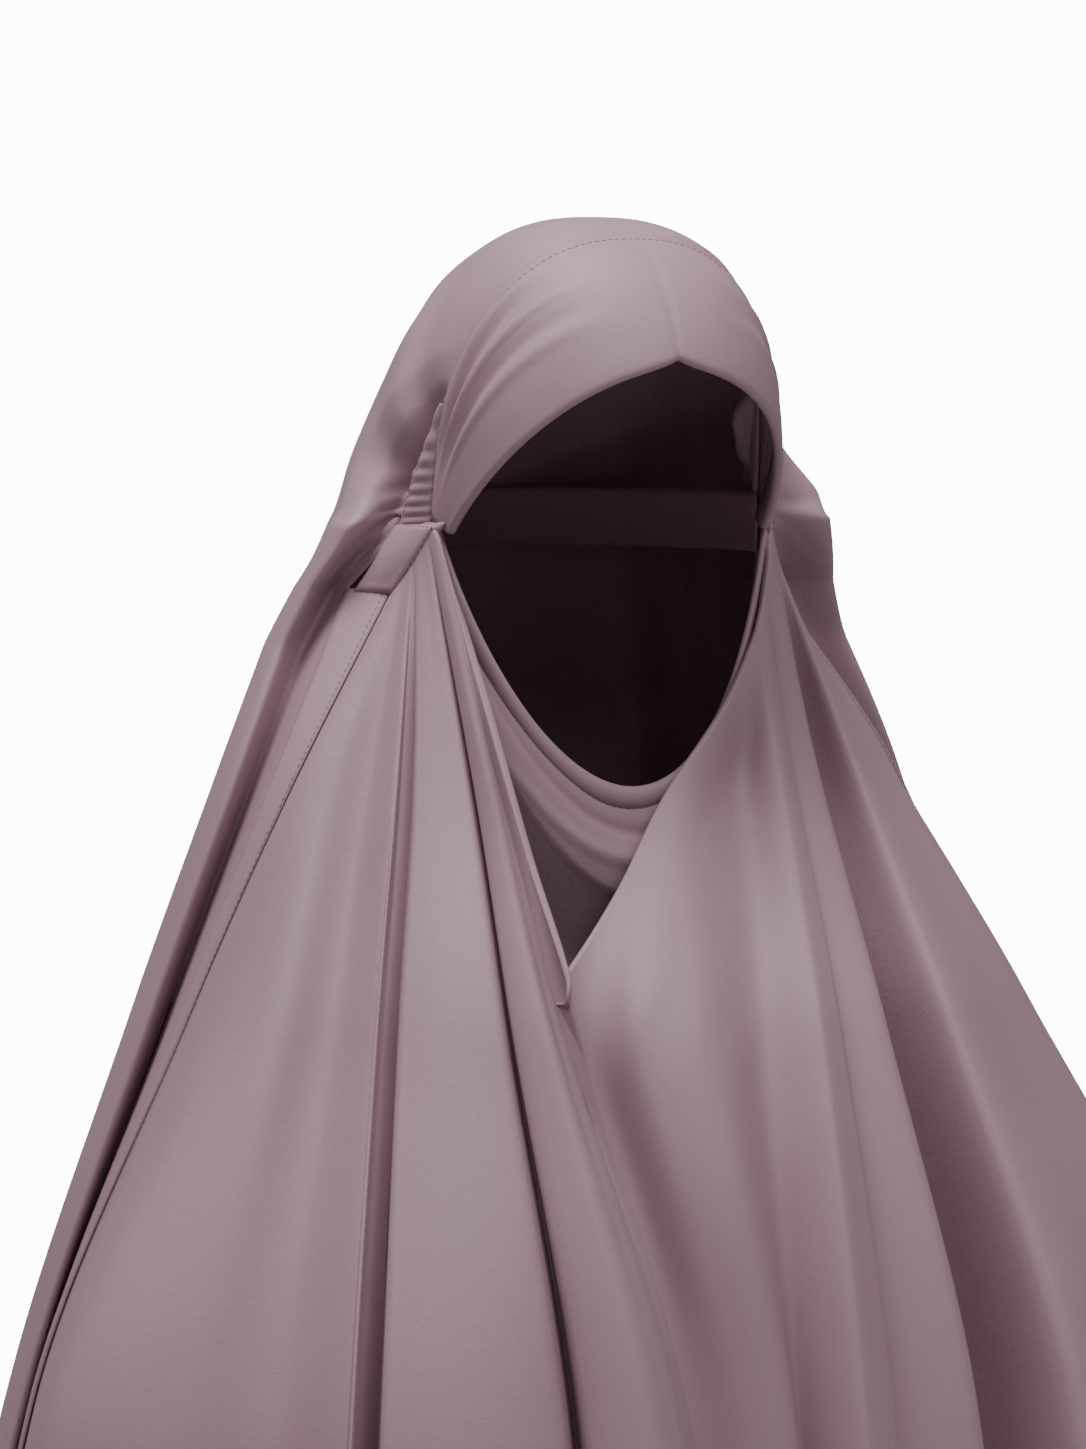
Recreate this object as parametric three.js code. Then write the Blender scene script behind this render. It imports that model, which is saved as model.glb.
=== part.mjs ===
// Khimar veil, built as worn: a brow band, an outer veil that falls from the crown to the hem, a
// pleated front drape with a cowl neckline, and a chin panel with a bound face edge.
// Millimetres, +Z up, the wearer looks along -Y. The origin is the inside of the crown.
import * as THREE from "three";

// Sizes of the head that the cloth is cut for
const HEAD_HALF_WIDTH = 74;
const HEAD_HALF_DEPTH = 94;
const HEAD_WIDEST_DROP = 105;
const TEMPLE_DROP = 125;
const TEMPLE_FORWARD = 12;
const CHIN_DROP = 232;
const CHIN_FORWARD = 50;

// Sizes of the cut
const VEIL_LENGTH = 800;
const THROAT_DROP = 230;
const COLLAR_DROP = 324;
const BUST_DROP = 480;
const THROAT_HALF_WIDTH = 143;
const COLLAR_HALF_WIDTH = 184;
const BUST_HALF_WIDTH = 262;
const HEM_HALF_WIDTH = 325;
const THROAT_FRONT = 105;
const COLLAR_FRONT = 146;
const BUST_FRONT = 192;
const HEM_FRONT = 232;
const THROAT_BACK = 114;
const COLLAR_BACK = 134;
const BUST_BACK = 158;
const HEM_BACK = 188;
const THROAT_VEIL = 145;
const COLLAR_VEIL = 178;
const BUST_VEIL = 224;
const HEM_VEIL = 290;
const DRAPE_SWAY = 4;

// Sizes of the brow band and the crown
const BROW_DROP = 52;
const BROW_PEAK = 5;
const BROW_PEAK_BEARING = 6;
const BROW_HALF_ANGLE = 75;
const ARCH_SQUARENESS = 2.7;
const CROWN_RISE = 126;
const ARCH_START = 18;

// Sizes of the neckline
const COWL_DROP = 308;
const COWL_FORWARD = 125;
const COWL_SIDE = 70;
const PANEL_HEM_DROP = 400;
const JAW_HALF_ANGLE = 86;
const CHIN_FOLD = 36;
const CHIN_FOLD_DEPTH = 12;

// Sizes of the trim
const CLOTH = 1.5;
const SEAM_GAP = 0.4;
const BINDING_WIDTH = 8;
const WELT_WIDTH = 2.5;
const WELT_FLARE = 22;
const WELT_TURN = 60;
const CASING_WIDTH = 14;
const PATCH_SIZE = 24;
const TIE_WIDTH = 25;
const TIE_LAP = 3;
const FOLD_DEPTH = 20;
const VEIL_PULL = 9;
const VEIL_SETTLE = 50;

// How finely the sheets are divided
const STEPS_PER_FOLD = 2;
const DROP_ROWS = 15;
const DROP_ROW_CROWDING = 1.35;
const JAW_COLUMNS = 24;
const JOIN_ROWS = 2;

const clothMaterial = new THREE.MeshStandardMaterial({ color: 0xa08a92, roughness: 0.72, metalness: 0 });
const liningMaterial = new THREE.MeshStandardMaterial({ color: 0x8d7880, roughness: 0.8, metalness: 0 });
const radians = THREE.MathUtils.degToRad;
const point = (x, y, z) => new THREE.Vector3(x, y, z);

// The four levels below the temples, each with its own widths. Left is what the veil's left side
// adds to its half width, as a share of the half head.
const LEVELS = {
  throat: { drop: THROAT_DROP, side: THROAT_HALF_WIDTH, front: THROAT_FRONT, back: THROAT_BACK,
    veil: THROAT_VEIL, left: 0.13 },
  collar: { drop: COLLAR_DROP, side: COLLAR_HALF_WIDTH, front: COLLAR_FRONT, back: COLLAR_BACK,
    veil: COLLAR_VEIL, left: 0.05 },
  bust: { drop: BUST_DROP, side: BUST_HALF_WIDTH, front: BUST_FRONT, back: BUST_BACK,
    veil: BUST_VEIL, left: 0 },
  hem: { drop: VEIL_LENGTH, side: HEM_HALF_WIDTH, front: HEM_FRONT, back: HEM_BACK,
    veil: HEM_VEIL, left: 0 },
};

// Each fold line of the front drape, from the wearer's right seam to the left one. It starts at a
// share of the gather or of the neckline, and passes each level at [across, forward], which are
// shares of that level's half width and front depth.
const FRONT_FOLDS = [
  { name: "right seam", start: "right gather", at: 0.0,
    throat: [-0.98, 0.13], collar: [-0.99, 0.03], bust: [-0.92, -0.1], hem: [-0.9, -0.15] },
  { name: "side turn", start: "right gather", at: 0.1,
    throat: [-0.96, 0.2], collar: [-0.975, 0.27], bust: [-1.01, 0.31], hem: [-0.96, 0.3] },
  { name: "side panel", start: "right gather", at: 0.22,
    throat: [-0.91, 0.27], collar: [-0.915, 0.43], bust: [-0.865, 0.52], hem: [-0.83, 0.54] },
  { name: "first valley", start: "right gather", at: 0.36,
    throat: [-0.81, 0.31], collar: [-0.795, 0.46], bust: [-0.73, 0.6], hem: [-0.7, 0.6] },
  { name: "first pleat", start: "right gather", at: 0.46,
    throat: [-0.77, 0.46], collar: [-0.745, 0.62], bust: [-0.67, 0.8], hem: [-0.64, 0.83] },
  { name: "first tuck", start: "right gather", at: 0.5,
    throat: [-0.75, 0.42], collar: [-0.725, 0.585], bust: [-0.655, 0.77], hem: [-0.625, 0.8] },
  { name: "second valley", start: "right gather", at: 0.57,
    throat: [-0.7, 0.41], collar: [-0.67, 0.56], bust: [-0.6, 0.725], hem: [-0.57, 0.75] },
  { name: "broad pleat edge", start: "right gather", at: 0.62,
    throat: [-0.725, 0.5], collar: [-0.715, 0.68], bust: [-0.645, 0.86], hem: [-0.62, 0.88] },
  { name: "broad pleat", start: "right gather", at: 0.74,
    throat: [-0.655, 0.58], collar: [-0.62, 0.79], bust: [-0.53, 0.95], hem: [-0.5, 0.97] },
  { name: "broad pleat side", start: "right gather", at: 0.84,
    throat: [-0.6, 0.61], collar: [-0.525, 0.83], bust: [-0.38, 0.96], hem: [-0.31, 0.97] },
  { name: "deep valley", start: "right gather", at: 0.88,
    throat: [-0.555, 0.54], collar: [-0.47, 0.74], bust: [-0.32, 0.85], hem: [-0.24, 0.86] },
  { name: "roll side", start: "right gather", at: 0.93,
    throat: [-0.585, 0.64], collar: [-0.505, 0.85], bust: [-0.34, 0.97], hem: [-0.25, 0.98] },
  { name: "neck roll", start: "right gather", at: 1.0,
    throat: [-0.575, 0.72], collar: [-0.46, 0.93], bust: [-0.27, 1.06], hem: [-0.17, 1.06] },
  { name: "upper neck edge", start: "right neckline", at: 0.3,
    throat: [-0.53, 0.7], collar: [-0.415, 0.9], bust: [-0.22, 1.06], hem: [-0.11, 1.06] },
  { name: "lower neck edge", start: "right neckline", at: 0.7,
    collar: [-0.385, 0.86], bust: [-0.195, 1.02], hem: [-0.085, 1.02] },
  { name: "foot of the neckline", start: "right neckline", at: 1.0,
    bust: [-0.17, 0.96], hem: [-0.07, 0.96] },
  { name: "under turn", start: "left neckline", at: 0.0,
    bust: [-0.18, 0.89], hem: [-0.08, 0.89] },
  { name: "under panel", start: "left neckline", at: 0.09,
    bust: [-0.13, 0.885], hem: [-0.05, 0.89] },
  { name: "chest panel", start: "left neckline", at: 0.3,
    collar: [-0.235, 0.915], bust: [-0.06, 0.935], hem: [-0.01, 0.95] },
  { name: "chest crown", start: "left neckline", at: 0.5,
    collar: [-0.09, 0.945], bust: [0.0, 0.945], hem: [0.03, 0.95] },
  { name: "chest valley", start: "left neckline", at: 0.72,
    throat: [0.31, 0.48], collar: [0.095, 0.84], bust: [0.045, 0.86], hem: [0.045, 0.85] },
  { name: "left first pleat", start: "left neckline", at: 0.84,
    throat: [0.39, 0.6], collar: [0.195, 0.94], bust: [0.105, 1.0], hem: [0.095, 1.01] },
  { name: "left step", start: "left neckline", at: 0.89,
    throat: [0.455, 0.55], collar: [0.26, 0.895], bust: [0.175, 0.95], hem: [0.16, 0.95] },
  { name: "left tuck", start: "left neckline", at: 0.92,
    throat: [0.465, 0.5], collar: [0.275, 0.84], bust: [0.19, 0.89], hem: [0.175, 0.88] },
  { name: "left second pleat", start: "left neckline", at: 0.97,
    throat: [0.56, 0.48], collar: [0.395, 0.83], bust: [0.33, 0.92], hem: [0.315, 0.92] },
  { name: "left deep valley", start: "left gather", at: 0.9,
    throat: [0.64, 0.24], collar: [0.49, 0.5], bust: [0.43, 0.6], hem: [0.415, 0.6] },
  { name: "left third pleat", start: "left gather", at: 0.68,
    throat: [0.715, 0.42], collar: [0.59, 0.77], bust: [0.515, 0.91], hem: [0.495, 0.92] },
  { name: "left side valley", start: "left gather", at: 0.42,
    throat: [0.82, 0.32], collar: [0.79, 0.58], bust: [0.74, 0.73], hem: [0.725, 0.72] },
  { name: "left side pleat", start: "left gather", at: 0.18,
    throat: [0.9, 0.22], collar: [0.945, 0.4], bust: [0.92, 0.52], hem: [0.9, 0.52] },
  { name: "left seam", start: "left gather", at: 0.0,
    throat: [0.96, 0.09], collar: [0.99, 0.02], bust: [1.0, -0.1], hem: [0.96, -0.15] },
];

// The left side of the neckline, from its foot up along the jaw to the left temple. Across is a
// share of the half head, forward of the neckline's reach, and fall of its drop below the temple.
const LEFT_NECKLINE = [
  { across: -0.93, forward: 0.88, fall: 1.0 },
  { across: -0.74, forward: 0.84, fall: 0.95 },
  { across: -0.45, forward: 0.74, fall: 0.84 },
  { across: -0.2, forward: 0.63, fall: 0.72 },
  { across: 0.08, forward: 0.52, fall: 0.6 },
  { across: 0.36, forward: 0.45, fall: 0.5 },
  { across: 0.64, forward: 0.36, fall: 0.38 },
  { across: 0.88, forward: 0.275, fall: 0.21 },
  { across: 1.04, forward: 0.18, fall: 0.03 },
];

// The veil's sections over the head. Tilt turns a section back from the brow, spread is a share of
// the half head, left is what the wearer's left side adds to it, and reach is a share of the
// crown's rise. Lean bends its foot upright, start is the angle at which it leaves the casing, edge
// is its place along the casing. Gap is how strongly the folds over the crown show there, and fold
// how strongly those of the fall do.
const HEAD_SECTIONS = [
  { tilt: 75, spread: 1.0, left: 0.0, reach: 0.98, lean: 1.5, start: 18, edge: 0.0, gap: 0, fold: 0.0 },
  { tilt: 90, spread: 1.0, left: 0.0, reach: 1.0, lean: 1.35, start: 15, edge: 0.2, gap: 0.3, fold: 0.0 },
  { tilt: 102, spread: 1.0, left: 0.0, reach: 1.0, lean: 1.2, start: 12, edge: 0.38, gap: 0.45, fold: 0.0 },
  { tilt: 114, spread: 1.07, left: 0.1, reach: 0.985, lean: 1.1, start: 9, edge: 0.56, gap: 0.5, fold: 0.05 },
  { tilt: 136, spread: 1.09, left: 0.28, reach: 0.955, lean: 1, start: 6, edge: 0.76, gap: 0.45, fold: 0.1 },
  { tilt: 158, spread: 1.21, left: 0.36, reach: 0.9, lean: 1.0, start: 3, edge: 0.92, gap: 0.3, fold: 0.2 },
  { tilt: 180, spread: 1.35, left: 0.26, reach: 0.865, lean: 1.0, start: 0, edge: 1.08, gap: 0.1, fold: 0.3 },
];

// Folds round the back of the veil: turn is the angle from the side seam to the centre back. Crown
// and hang are depths over the crown and in the fall, and tuck is how far the fall is pushed back
// there, all as shares of the fold depth.
const VEIL_FOLDS = [
  { name: "seam edge", turn: 0, crown: 0, hang: 0, tuck: 0 },
  { name: "side gap", turn: 3, crown: -0.8, hang: -0.5, tuck: 1.3 },
  { name: "roll lip", turn: 7, crown: 0.1, hang: 0.5, tuck: -0.5 },
  { name: "side roll", turn: 14, crown: 0.5, hang: 0.6, tuck: -0.1 },
  { name: "roll crease", turn: 22, crown: 0.35, hang: 0.2, tuck: 0 },
  { name: "shoulder ridge", turn: 33, crown: 0.15, hang: 0.35, tuck: 0 },
  { name: "shoulder valley", turn: 45, crown: 0, hang: -0.4, tuck: 0 },
  { name: "blade ridge", turn: 56, crown: 0, hang: 0.3, tuck: 0 },
  { name: "blade valley", turn: 67, crown: 0, hang: -0.45, tuck: 0 },
  { name: "spine ridge", turn: 78, crown: 0, hang: 0.3, tuck: 0 },
  { name: "centre back", turn: 90, crown: 0, hang: -0.15, tuck: 0 },
];

// Corners of the gathered temple on the wearer's right, out, back and below its top as shares of
// the patch
const TEMPLE = {
  tie: { out: 0, back: -0.33, below: 0 },
  rear: { out: 0.12, back: 0.79, below: 0 },
  knot: { out: 0.02, back: -0.37, below: 0.06 },
  seam: { out: 0.38, back: 0.5, below: 1.1 },
  foot: { out: 0.36, back: 0.36, below: 1.02 },
  heel: { out: 0.7, back: 1.08, below: 1.0 },
};

// Interpolates knots { at, value } smoothly, with slopes taken from the neighbours
function smooth(knots, at) {
  const last = knots.length - 1;
  let i = 0;
  while (i < last - 1 && at > knots[i + 1].at) {
    i += 1;
  }
  const slope = (k) => {
    const a = knots[Math.max(k - 1, 0)];
    const b = knots[Math.min(k + 1, last)];
    return (b.value - a.value) / (b.at - a.at);
  };
  const span = knots[i + 1].at - knots[i].at;
  const t = (at - knots[i].at) / span;
  const t2 = t * t;
  const t3 = t2 * t;
  return (2 * t3 - 3 * t2 + 1) * knots[i].value + (t3 - 2 * t2 + t) * span * slope(i)
    + (3 * t2 - 2 * t3) * knots[i + 1].value + (t3 - t2) * span * slope(i + 1);
}

const mirrored = (p) => point(-p.x, p.y, p.z);
const through = (points) => new THREE.CatmullRomCurve3(points, false, "centripetal");

// A corner of the gathered temple on the wearer's right
function templeCorner({ out, back, below }) {
  return point(
    -HEAD_HALF_WIDTH - 2 * CLOTH - out * PATCH_SIZE,
    -TEMPLE_FORWARD + back * PATCH_SIZE,
    -TEMPLE_DROP - below * PATCH_SIZE,
  );
}

// A point over the head at an angle from the right temple (0) to the left one (180)
function headPoint({ tilt, spread, reach, lean, middle = -TEMPLE_FORWARD }, angle) {
  const turned = radians(Math.min(Math.max(angle, 0.01), 179.99));
  const rise = Math.pow(Math.sin(turned), 2 / ARCH_SQUARENESS);
  const across = Math.pow(Math.abs(Math.cos(turned)), 2 / ARCH_SQUARENESS);
  return point(
    -Math.sign(Math.cos(turned)) * spread * HEAD_HALF_WIDTH * across,
    middle - reach * CROWN_RISE * Math.cos(radians(tilt)) * Math.pow(rise, lean),
    -TEMPLE_DROP + reach * CROWN_RISE * Math.sin(radians(tilt)) * rise,
  );
}

// The seam between brow band and veil
const archPoint = (angle) => headPoint(HEAD_SECTIONS[0], angle);

// The arch's right foot at a drop below the crown
function archAtDrop(drop) {
  const { tilt, reach } = HEAD_SECTIONS[0];
  const rise = (TEMPLE_DROP - drop) / (reach * CROWN_RISE * Math.sin(radians(tilt)));
  return archPoint(THREE.MathUtils.radToDeg(Math.asin(Math.pow(rise, ARCH_SQUARENESS / 2))));
}

// Pushes a point out to the head that the band is shaped over
function ontoHead(p) {
  const x = Math.abs(p.x) / (HEAD_HALF_WIDTH + CLOTH);
  const y = Math.abs(p.y) / (HEAD_HALF_DEPTH + CLOTH);
  const z = Math.abs(p.z + HEAD_WIDEST_DROP) / HEAD_WIDEST_DROP;
  const flat = Math.pow(Math.pow(x, 2.2) + Math.pow(y, 2.2), 2.5 / 2.2);
  const scale = Math.pow(flat + Math.pow(z, 2.5), -1 / 2.5);
  return point(p.x * scale, p.y * scale, -HEAD_WIDEST_DROP + (p.z + HEAD_WIDEST_DROP) * scale);
}

// The bound face edge along the jaw, from the right temple (-90) by the chin (0) to the left (90)
function jawPoint(angle) {
  const turned = radians(angle);
  const low = Math.cos(turned);
  const tie = templeCorner(TEMPLE.tie);
  return point(
    (HEAD_HALF_WIDTH + CLOTH) * Math.sin(turned),
    THREE.MathUtils.lerp(tie.y, -CHIN_FORWARD, Math.pow(low, 1.8)),
    -TEMPLE_DROP - (CHIN_DROP - TEMPLE_DROP) * Math.pow(low, 1.6),
  );
}

// The way that the cloth runs on from the jaw: back at the sides, down under the chin
function jawRun(angle) {
  const side = Math.sin(radians(angle));
  const low = Math.cos(radians(angle));
  return point(0.12 * side, 0.85 * side * side - 0.15 * low, -0.95 * low - 0.3).normalize();
}

function necklinePoint(side, share) {
  if (side === "right") {
    const top = templeCorner(TEMPLE.tie);
    const foot = point(DRAPE_SWAY - COWL_SIDE, -COWL_FORWARD, -COWL_DROP);
    return top.lerp(foot, share);
  }
  const knots = LEFT_NECKLINE.map(({ across, forward, fall }) => point(
    across * HEAD_HALF_WIDTH,
    -forward * COWL_FORWARD,
    -TEMPLE_DROP - fall * (COWL_DROP - TEMPLE_DROP),
  ));
  return through(knots).getPoint(share);
}

// The gathered top of the drape at a temple, from the patch's foot corner up to the tie
function gatherPoint(side, share) {
  const foot = templeCorner(TEMPLE.seam);
  const tie = templeCorner(TEMPLE.knot);
  const p = foot.lerp(tie, share);
  return side === "right" ? p : mirrored(p);
}

function startPoint({ start, at }) {
  const [side, line] = start.split(" ");
  return line === "gather" ? gatherPoint(side, at) : necklinePoint(side, at);
}

// A fold line from its start down to the hem, at a share of its drop
function foldPoint(fold, share) {
  const top = startPoint(fold);
  const knots = [{ drop: -top.z, x: top.x, y: top.y }];
  for (const [name, level] of Object.entries(LEVELS)) {
    if (fold[name] && level.drop > -top.z + CLOTH) {
      const [across, forward] = fold[name];
      knots.push({ drop: level.drop, x: across * level.side + DRAPE_SWAY, y: -forward * level.front });
    }
  }
  const drop = THREE.MathUtils.lerp(knots[0].drop, VEIL_LENGTH, share);
  const x = smooth(knots.map((k) => ({ at: k.drop, value: k.x })), drop);
  const y = smooth(knots.map((k) => ({ at: k.drop, value: k.y })), drop);
  return point(x, y, -drop);
}

const dropShare = (row) => Math.pow(row / DROP_ROWS, DROP_ROW_CROWDING);

// Turns a grid of points into a closed sheet of cloth, half of the wall on each side
function clothSheet(grid) {
  const rows = grid.length;
  const columns = grid[0].length;
  const at = (r, c) => grid[Math.min(Math.max(r, 0), rows - 1)][Math.min(Math.max(c, 0), columns - 1)];
  const positions = [];
  for (const side of [0.5, -0.5]) {
    for (let r = 0; r < rows; r += 1) {
      for (let c = 0; c < columns; c += 1) {
        const across = at(r, c + 1).clone().sub(at(r, c - 1));
        const down = at(r + 1, c).clone().sub(at(r - 1, c));
        const normal = across.cross(down).normalize();
        positions.push(...at(r, c).clone().addScaledVector(normal, side * CLOTH).toArray());
      }
    }
  }
  const half = rows * columns;
  const index = (r, c) => r * columns + c;
  const faces = [];
  for (let r = 0; r < rows - 1; r += 1) {
    for (let c = 0; c < columns - 1; c += 1) {
      const [a, b, d, e] = [index(r, c), index(r, c + 1), index(r + 1, c + 1), index(r + 1, c)];
      faces.push(a, b, d, a, d, e);
      faces.push(half + a, half + d, half + b, half + a, half + e, half + d);
    }
  }
  const rim = [];
  for (let c = 0; c < columns; c += 1) rim.push(index(0, c));
  for (let r = 1; r < rows; r += 1) rim.push(index(r, columns - 1));
  for (let c = columns - 2; c >= 0; c -= 1) rim.push(index(rows - 1, c));
  for (let r = rows - 2; r >= 1; r -= 1) rim.push(index(r, 0));
  rim.forEach((a, i) => {
    const b = rim[(i + 1) % rim.length];
    faces.push(a, half + a, half + b, a, half + b, b);
  });
  const geometry = new THREE.BufferGeometry();
  geometry.setAttribute("position", new THREE.Float32BufferAttribute(positions, 3));
  geometry.setIndex(faces);
  geometry.computeVertexNormals();
  return geometry;
}

function piece(name, geometry, material = clothMaterial) {
  const mesh = new THREE.Mesh(geometry, material);
  mesh.name = name;
  return mesh;
}

// Makes a grid of rows and columns from place(row share, column share)
function makeGrid(rows, columns, place) {
  return Array.from({ length: rows + 1 }, (_, r) => (
    Array.from({ length: columns + 1 }, (_, c) => place(r / Math.max(rows, 1), c / columns))
  ));
}

function frontDrape() {
  const columns = (FRONT_FOLDS.length - 1) * STEPS_PER_FOLD;
  const grid = [];
  for (let row = 0; row <= DROP_ROWS; row += 1) {
    const line = through(FRONT_FOLDS.map((fold) => foldPoint(fold, dropShare(row))));
    grid.push(Array.from({ length: columns + 1 }, (_, c) => line.getPoint(c / columns)));
  }
  return piece("front_drape", clothSheet(grid));
}

// The two edges of the side welt, on the wearer's right or left, at a row of the drape
function weltEdges(side, row) {
  const fold = side === "right" ? FRONT_FOLDS[0] : FRONT_FOLDS[FRONT_FOLDS.length - 1];
  const outward = side === "right" ? -1 : 1;
  const run = point(outward * Math.cos(radians(WELT_TURN)), Math.sin(radians(WELT_TURN)), 0);
  const inward = point(-outward * Math.sin(radians(WELT_TURN)), Math.cos(radians(WELT_TURN)), 0);
  const seam = foldPoint(fold, dropShare(row));
  const wide = WELT_WIDTH + WELT_FLARE * Math.pow(1 - dropShare(row), 6);
  return {
    inward,
    front: seam.clone().addScaledVector(run, SEAM_GAP + CLOTH / 2),
    back: seam.clone().addScaledVector(run, wide),
  };
}

function sideWelt(side) {
  const grid = [];
  for (let row = 0; row <= DROP_ROWS; row += 1) {
    const { front, back } = weltEdges(side, row);
    const crown = front.clone().lerp(back, 0.5).add(point(0, -0.12 * front.distanceTo(back), 0));
    grid.push(side === "right" ? [back, crown, front] : [front, crown, back]);
  }
  return piece(`side_welt_${side}`, clothSheet(grid));
}

// The back edge of the gather casing, from its top (0) to the patch (1)
function casingEdge(share) {
  const top = archPoint(ARCH_START).add(point(0, 2.5 * CLOTH, 0));
  const rear = templeCorner(TEMPLE.rear);
  const p = top.clone().lerp(rear, share);
  const bow = 4 * share * (1 - share);
  return p.add(point(-0.5 * CLOTH * bow, 0.12 * CASING_WIDTH * bow, 0));
}

// The veil's sections in order, each with its distance down the centre back
function veilSections() {
  const sections = [];
  let down = 0;
  HEAD_SECTIONS.forEach((head, i) => {
    if (i > 0) {
      down += CROWN_RISE * head.reach * radians(head.tilt - HEAD_SECTIONS[i - 1].tilt);
    }
    const end = casingEdge(head.edge);
    sections.push({ ...head, down, endX: -end.x, endY: end.y, endZ: end.z });
  });
  for (const { drop, side, back, veil, left } of Object.values(LEVELS)) {
    const share = (drop - TEMPLE_DROP) / (VEIL_LENGTH - TEMPLE_DROP);
    sections.push({
      down: down + drop - TEMPLE_DROP,
      tilt: 180,
      spread: veil / HEAD_HALF_WIDTH,
      left,
      reach: (back + TEMPLE_FORWARD) / CROWN_RISE,
      lean: 1,
      start: 0,
      endX: side,
      endY: 0,
      endZ: -drop,
      gap: 0,
      fold: 0.5 + 0.8 * share,
    });
  }
  return sections;
}

const VEIL_SECTIONS = veilSections();
const TEMPLE_DOWN = VEIL_SECTIONS[HEAD_SECTIONS.length - 1].down;

// A section at a way down. Its tilt runs evenly, so that the head turns into the fall.
function sectionAt(down) {
  const value = (key) => smooth(VEIL_SECTIONS.map((s) => ({ at: s.down, value: s[key] })), down);
  const section = Object.fromEntries(Object.keys(VEIL_SECTIONS[0]).map((key) => [key, value(key)]));
  const next = VEIL_SECTIONS.findIndex((s) => s.down > down);
  if (next < 1) {
    return section;
  }
  const from = VEIL_SECTIONS[next - 1];
  const to = VEIL_SECTIONS[next];
  const share = Math.min(Math.max((down - from.down) / (to.down - from.down), 0), 1);
  return { ...section, tilt: THREE.MathUtils.lerp(from.tilt, to.tilt, share) };
}

// A point of the veil on one side of a section, from the edge (turn 0) to the centre back (90).
// Near the edge the cloth is drawn in to the casing or the welt.
function veilPoint(section, end, { turn, crown, hang, tuck }) {
  const angle = THREE.MathUtils.lerp(section.start, 90, turn / 90);
  const p = headPoint(section, angle);
  const free = headPoint(section, section.start);
  p.z -= section.low;
  free.z -= section.low;
  const pull = Math.pow(Math.max(0, 1 - turn / VEIL_PULL), 2);
  p.addScaledVector(end.clone().sub(free), pull);
  const turned = radians(angle);
  const out = point(-Math.cos(turned), Math.sin(turned), 0);
  p.y += tuck * section.fold * FOLD_DEPTH;
  return p.addScaledVector(out, (crown * section.gap + hang * section.fold) * FOLD_DEPTH);
}

function veilGrid() {
  const starts = [];
  const headRows = 2 * (HEAD_SECTIONS.length - 1);
  for (let i = 0; i < headRows; i += 1) {
    const k = Math.floor(i / 2);
    const a = VEIL_SECTIONS[k].down;
    const b = VEIL_SECTIONS[k + 1].down;
    starts.push({ down: Math.max(a + (b - a) * (i % 2) / 2, SEAM_GAP) });
  }
  for (let i = 0; i < JOIN_ROWS; i += 1) {
    starts.push({ row: 0, joined: i / JOIN_ROWS });
  }
  for (let row = 0; row <= DROP_ROWS; row += 1) {
    starts.push({ row, joined: 1 });
  }
  const turns = [];
  for (let k = 0; k < VEIL_FOLDS.length - 1; k += 1) {
    for (let i = 0; i < STEPS_PER_FOLD; i += 1) {
      turns.push(k + i / STEPS_PER_FOLD);
    }
  }
  turns.push(VEIL_FOLDS.length - 1);
  const knots = (key) => VEIL_FOLDS.map((fold, k) => ({ at: k, value: fold[key] }));
  const keys = ["turn", "crown", "hang", "tuck"];
  const foldAt = (k) => Object.fromEntries(keys.map((key) => [key, smooth(knots(key), k)]));
  const gathered = casingEdge(HEAD_SECTIONS[HEAD_SECTIONS.length - 1].edge);
  return starts.map(({ down, row, joined }) => {
    const ends = {};
    let section;
    if (row === undefined) {
      section = { ...sectionAt(down), low: 0 };
      ends.right = point(-section.endX, section.endY, section.endZ);
      ends.left = mirrored(ends.right);
    } else {
      const low = joined * (-weltEdges("right", row).back.z - TEMPLE_DROP);
      section = { ...sectionAt(TEMPLE_DOWN + low), low };
      for (const side of ["right", "left"]) {
        const { back, inward } = weltEdges(side, row);
        const top = side === "right" ? gathered : mirrored(gathered);
        ends[side] = top.clone().lerp(back.clone().addScaledVector(inward, SEAM_GAP + CLOTH), joined);
      }
    }
    const half = (side) => turns.map((k) => {
      const end = side === "right" ? ends.right : mirrored(ends.left);
      const rear = section.reach * CROWN_RISE - TEMPLE_FORWARD;
      const settled = Math.min(1, section.low / VEIL_SETTLE);
      const middle = THREE.MathUtils.lerp(-TEMPLE_FORWARD, end.y, settled);
      const spread = section.spread + (side === "left" ? section.left : 0);
      const sized = { ...section, spread, middle, reach: (rear - middle) / CROWN_RISE };
      const p = veilPoint(sized, end, foldAt(k));
      return side === "right" ? p : mirrored(p);
    });
    return [...half("left"), ...half("right").reverse().slice(1)];
  });
}

function veil() {
  return piece("veil", clothSheet(veilGrid()));
}

// The lower edge of the brow band, at a bearing from the centre front
function browEdge(bearing) {
  const away = Math.abs(bearing);
  const fall = (TEMPLE_DROP + CLOTH - BROW_DROP - BROW_PEAK) * Math.pow(away / BROW_HALF_ANGLE, 1.8);
  const drop = BROW_DROP + BROW_PEAK * (1 - Math.exp(-away / BROW_PEAK_BEARING)) + fall;
  const x = HEAD_HALF_WIDTH * Math.sin(radians(bearing));
  const y = -HEAD_HALF_DEPTH * Math.cos(radians(bearing));
  return ontoHead(point(x, y, -drop));
}

function browBand() {
  const grid = makeGrid(6, 30, (row, column) => {
    const lower = browEdge(THREE.MathUtils.lerp(-BROW_HALF_ANGLE, BROW_HALF_ANGLE, column));
    const upper = archPoint(THREE.MathUtils.lerp(0.5, 179.5, column));
    const onHead = ontoHead(upper.clone().lerp(lower, row));
    return row === 0 ? upper : onHead;
  });
  return piece("brow_band", clothSheet(grid));
}

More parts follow.
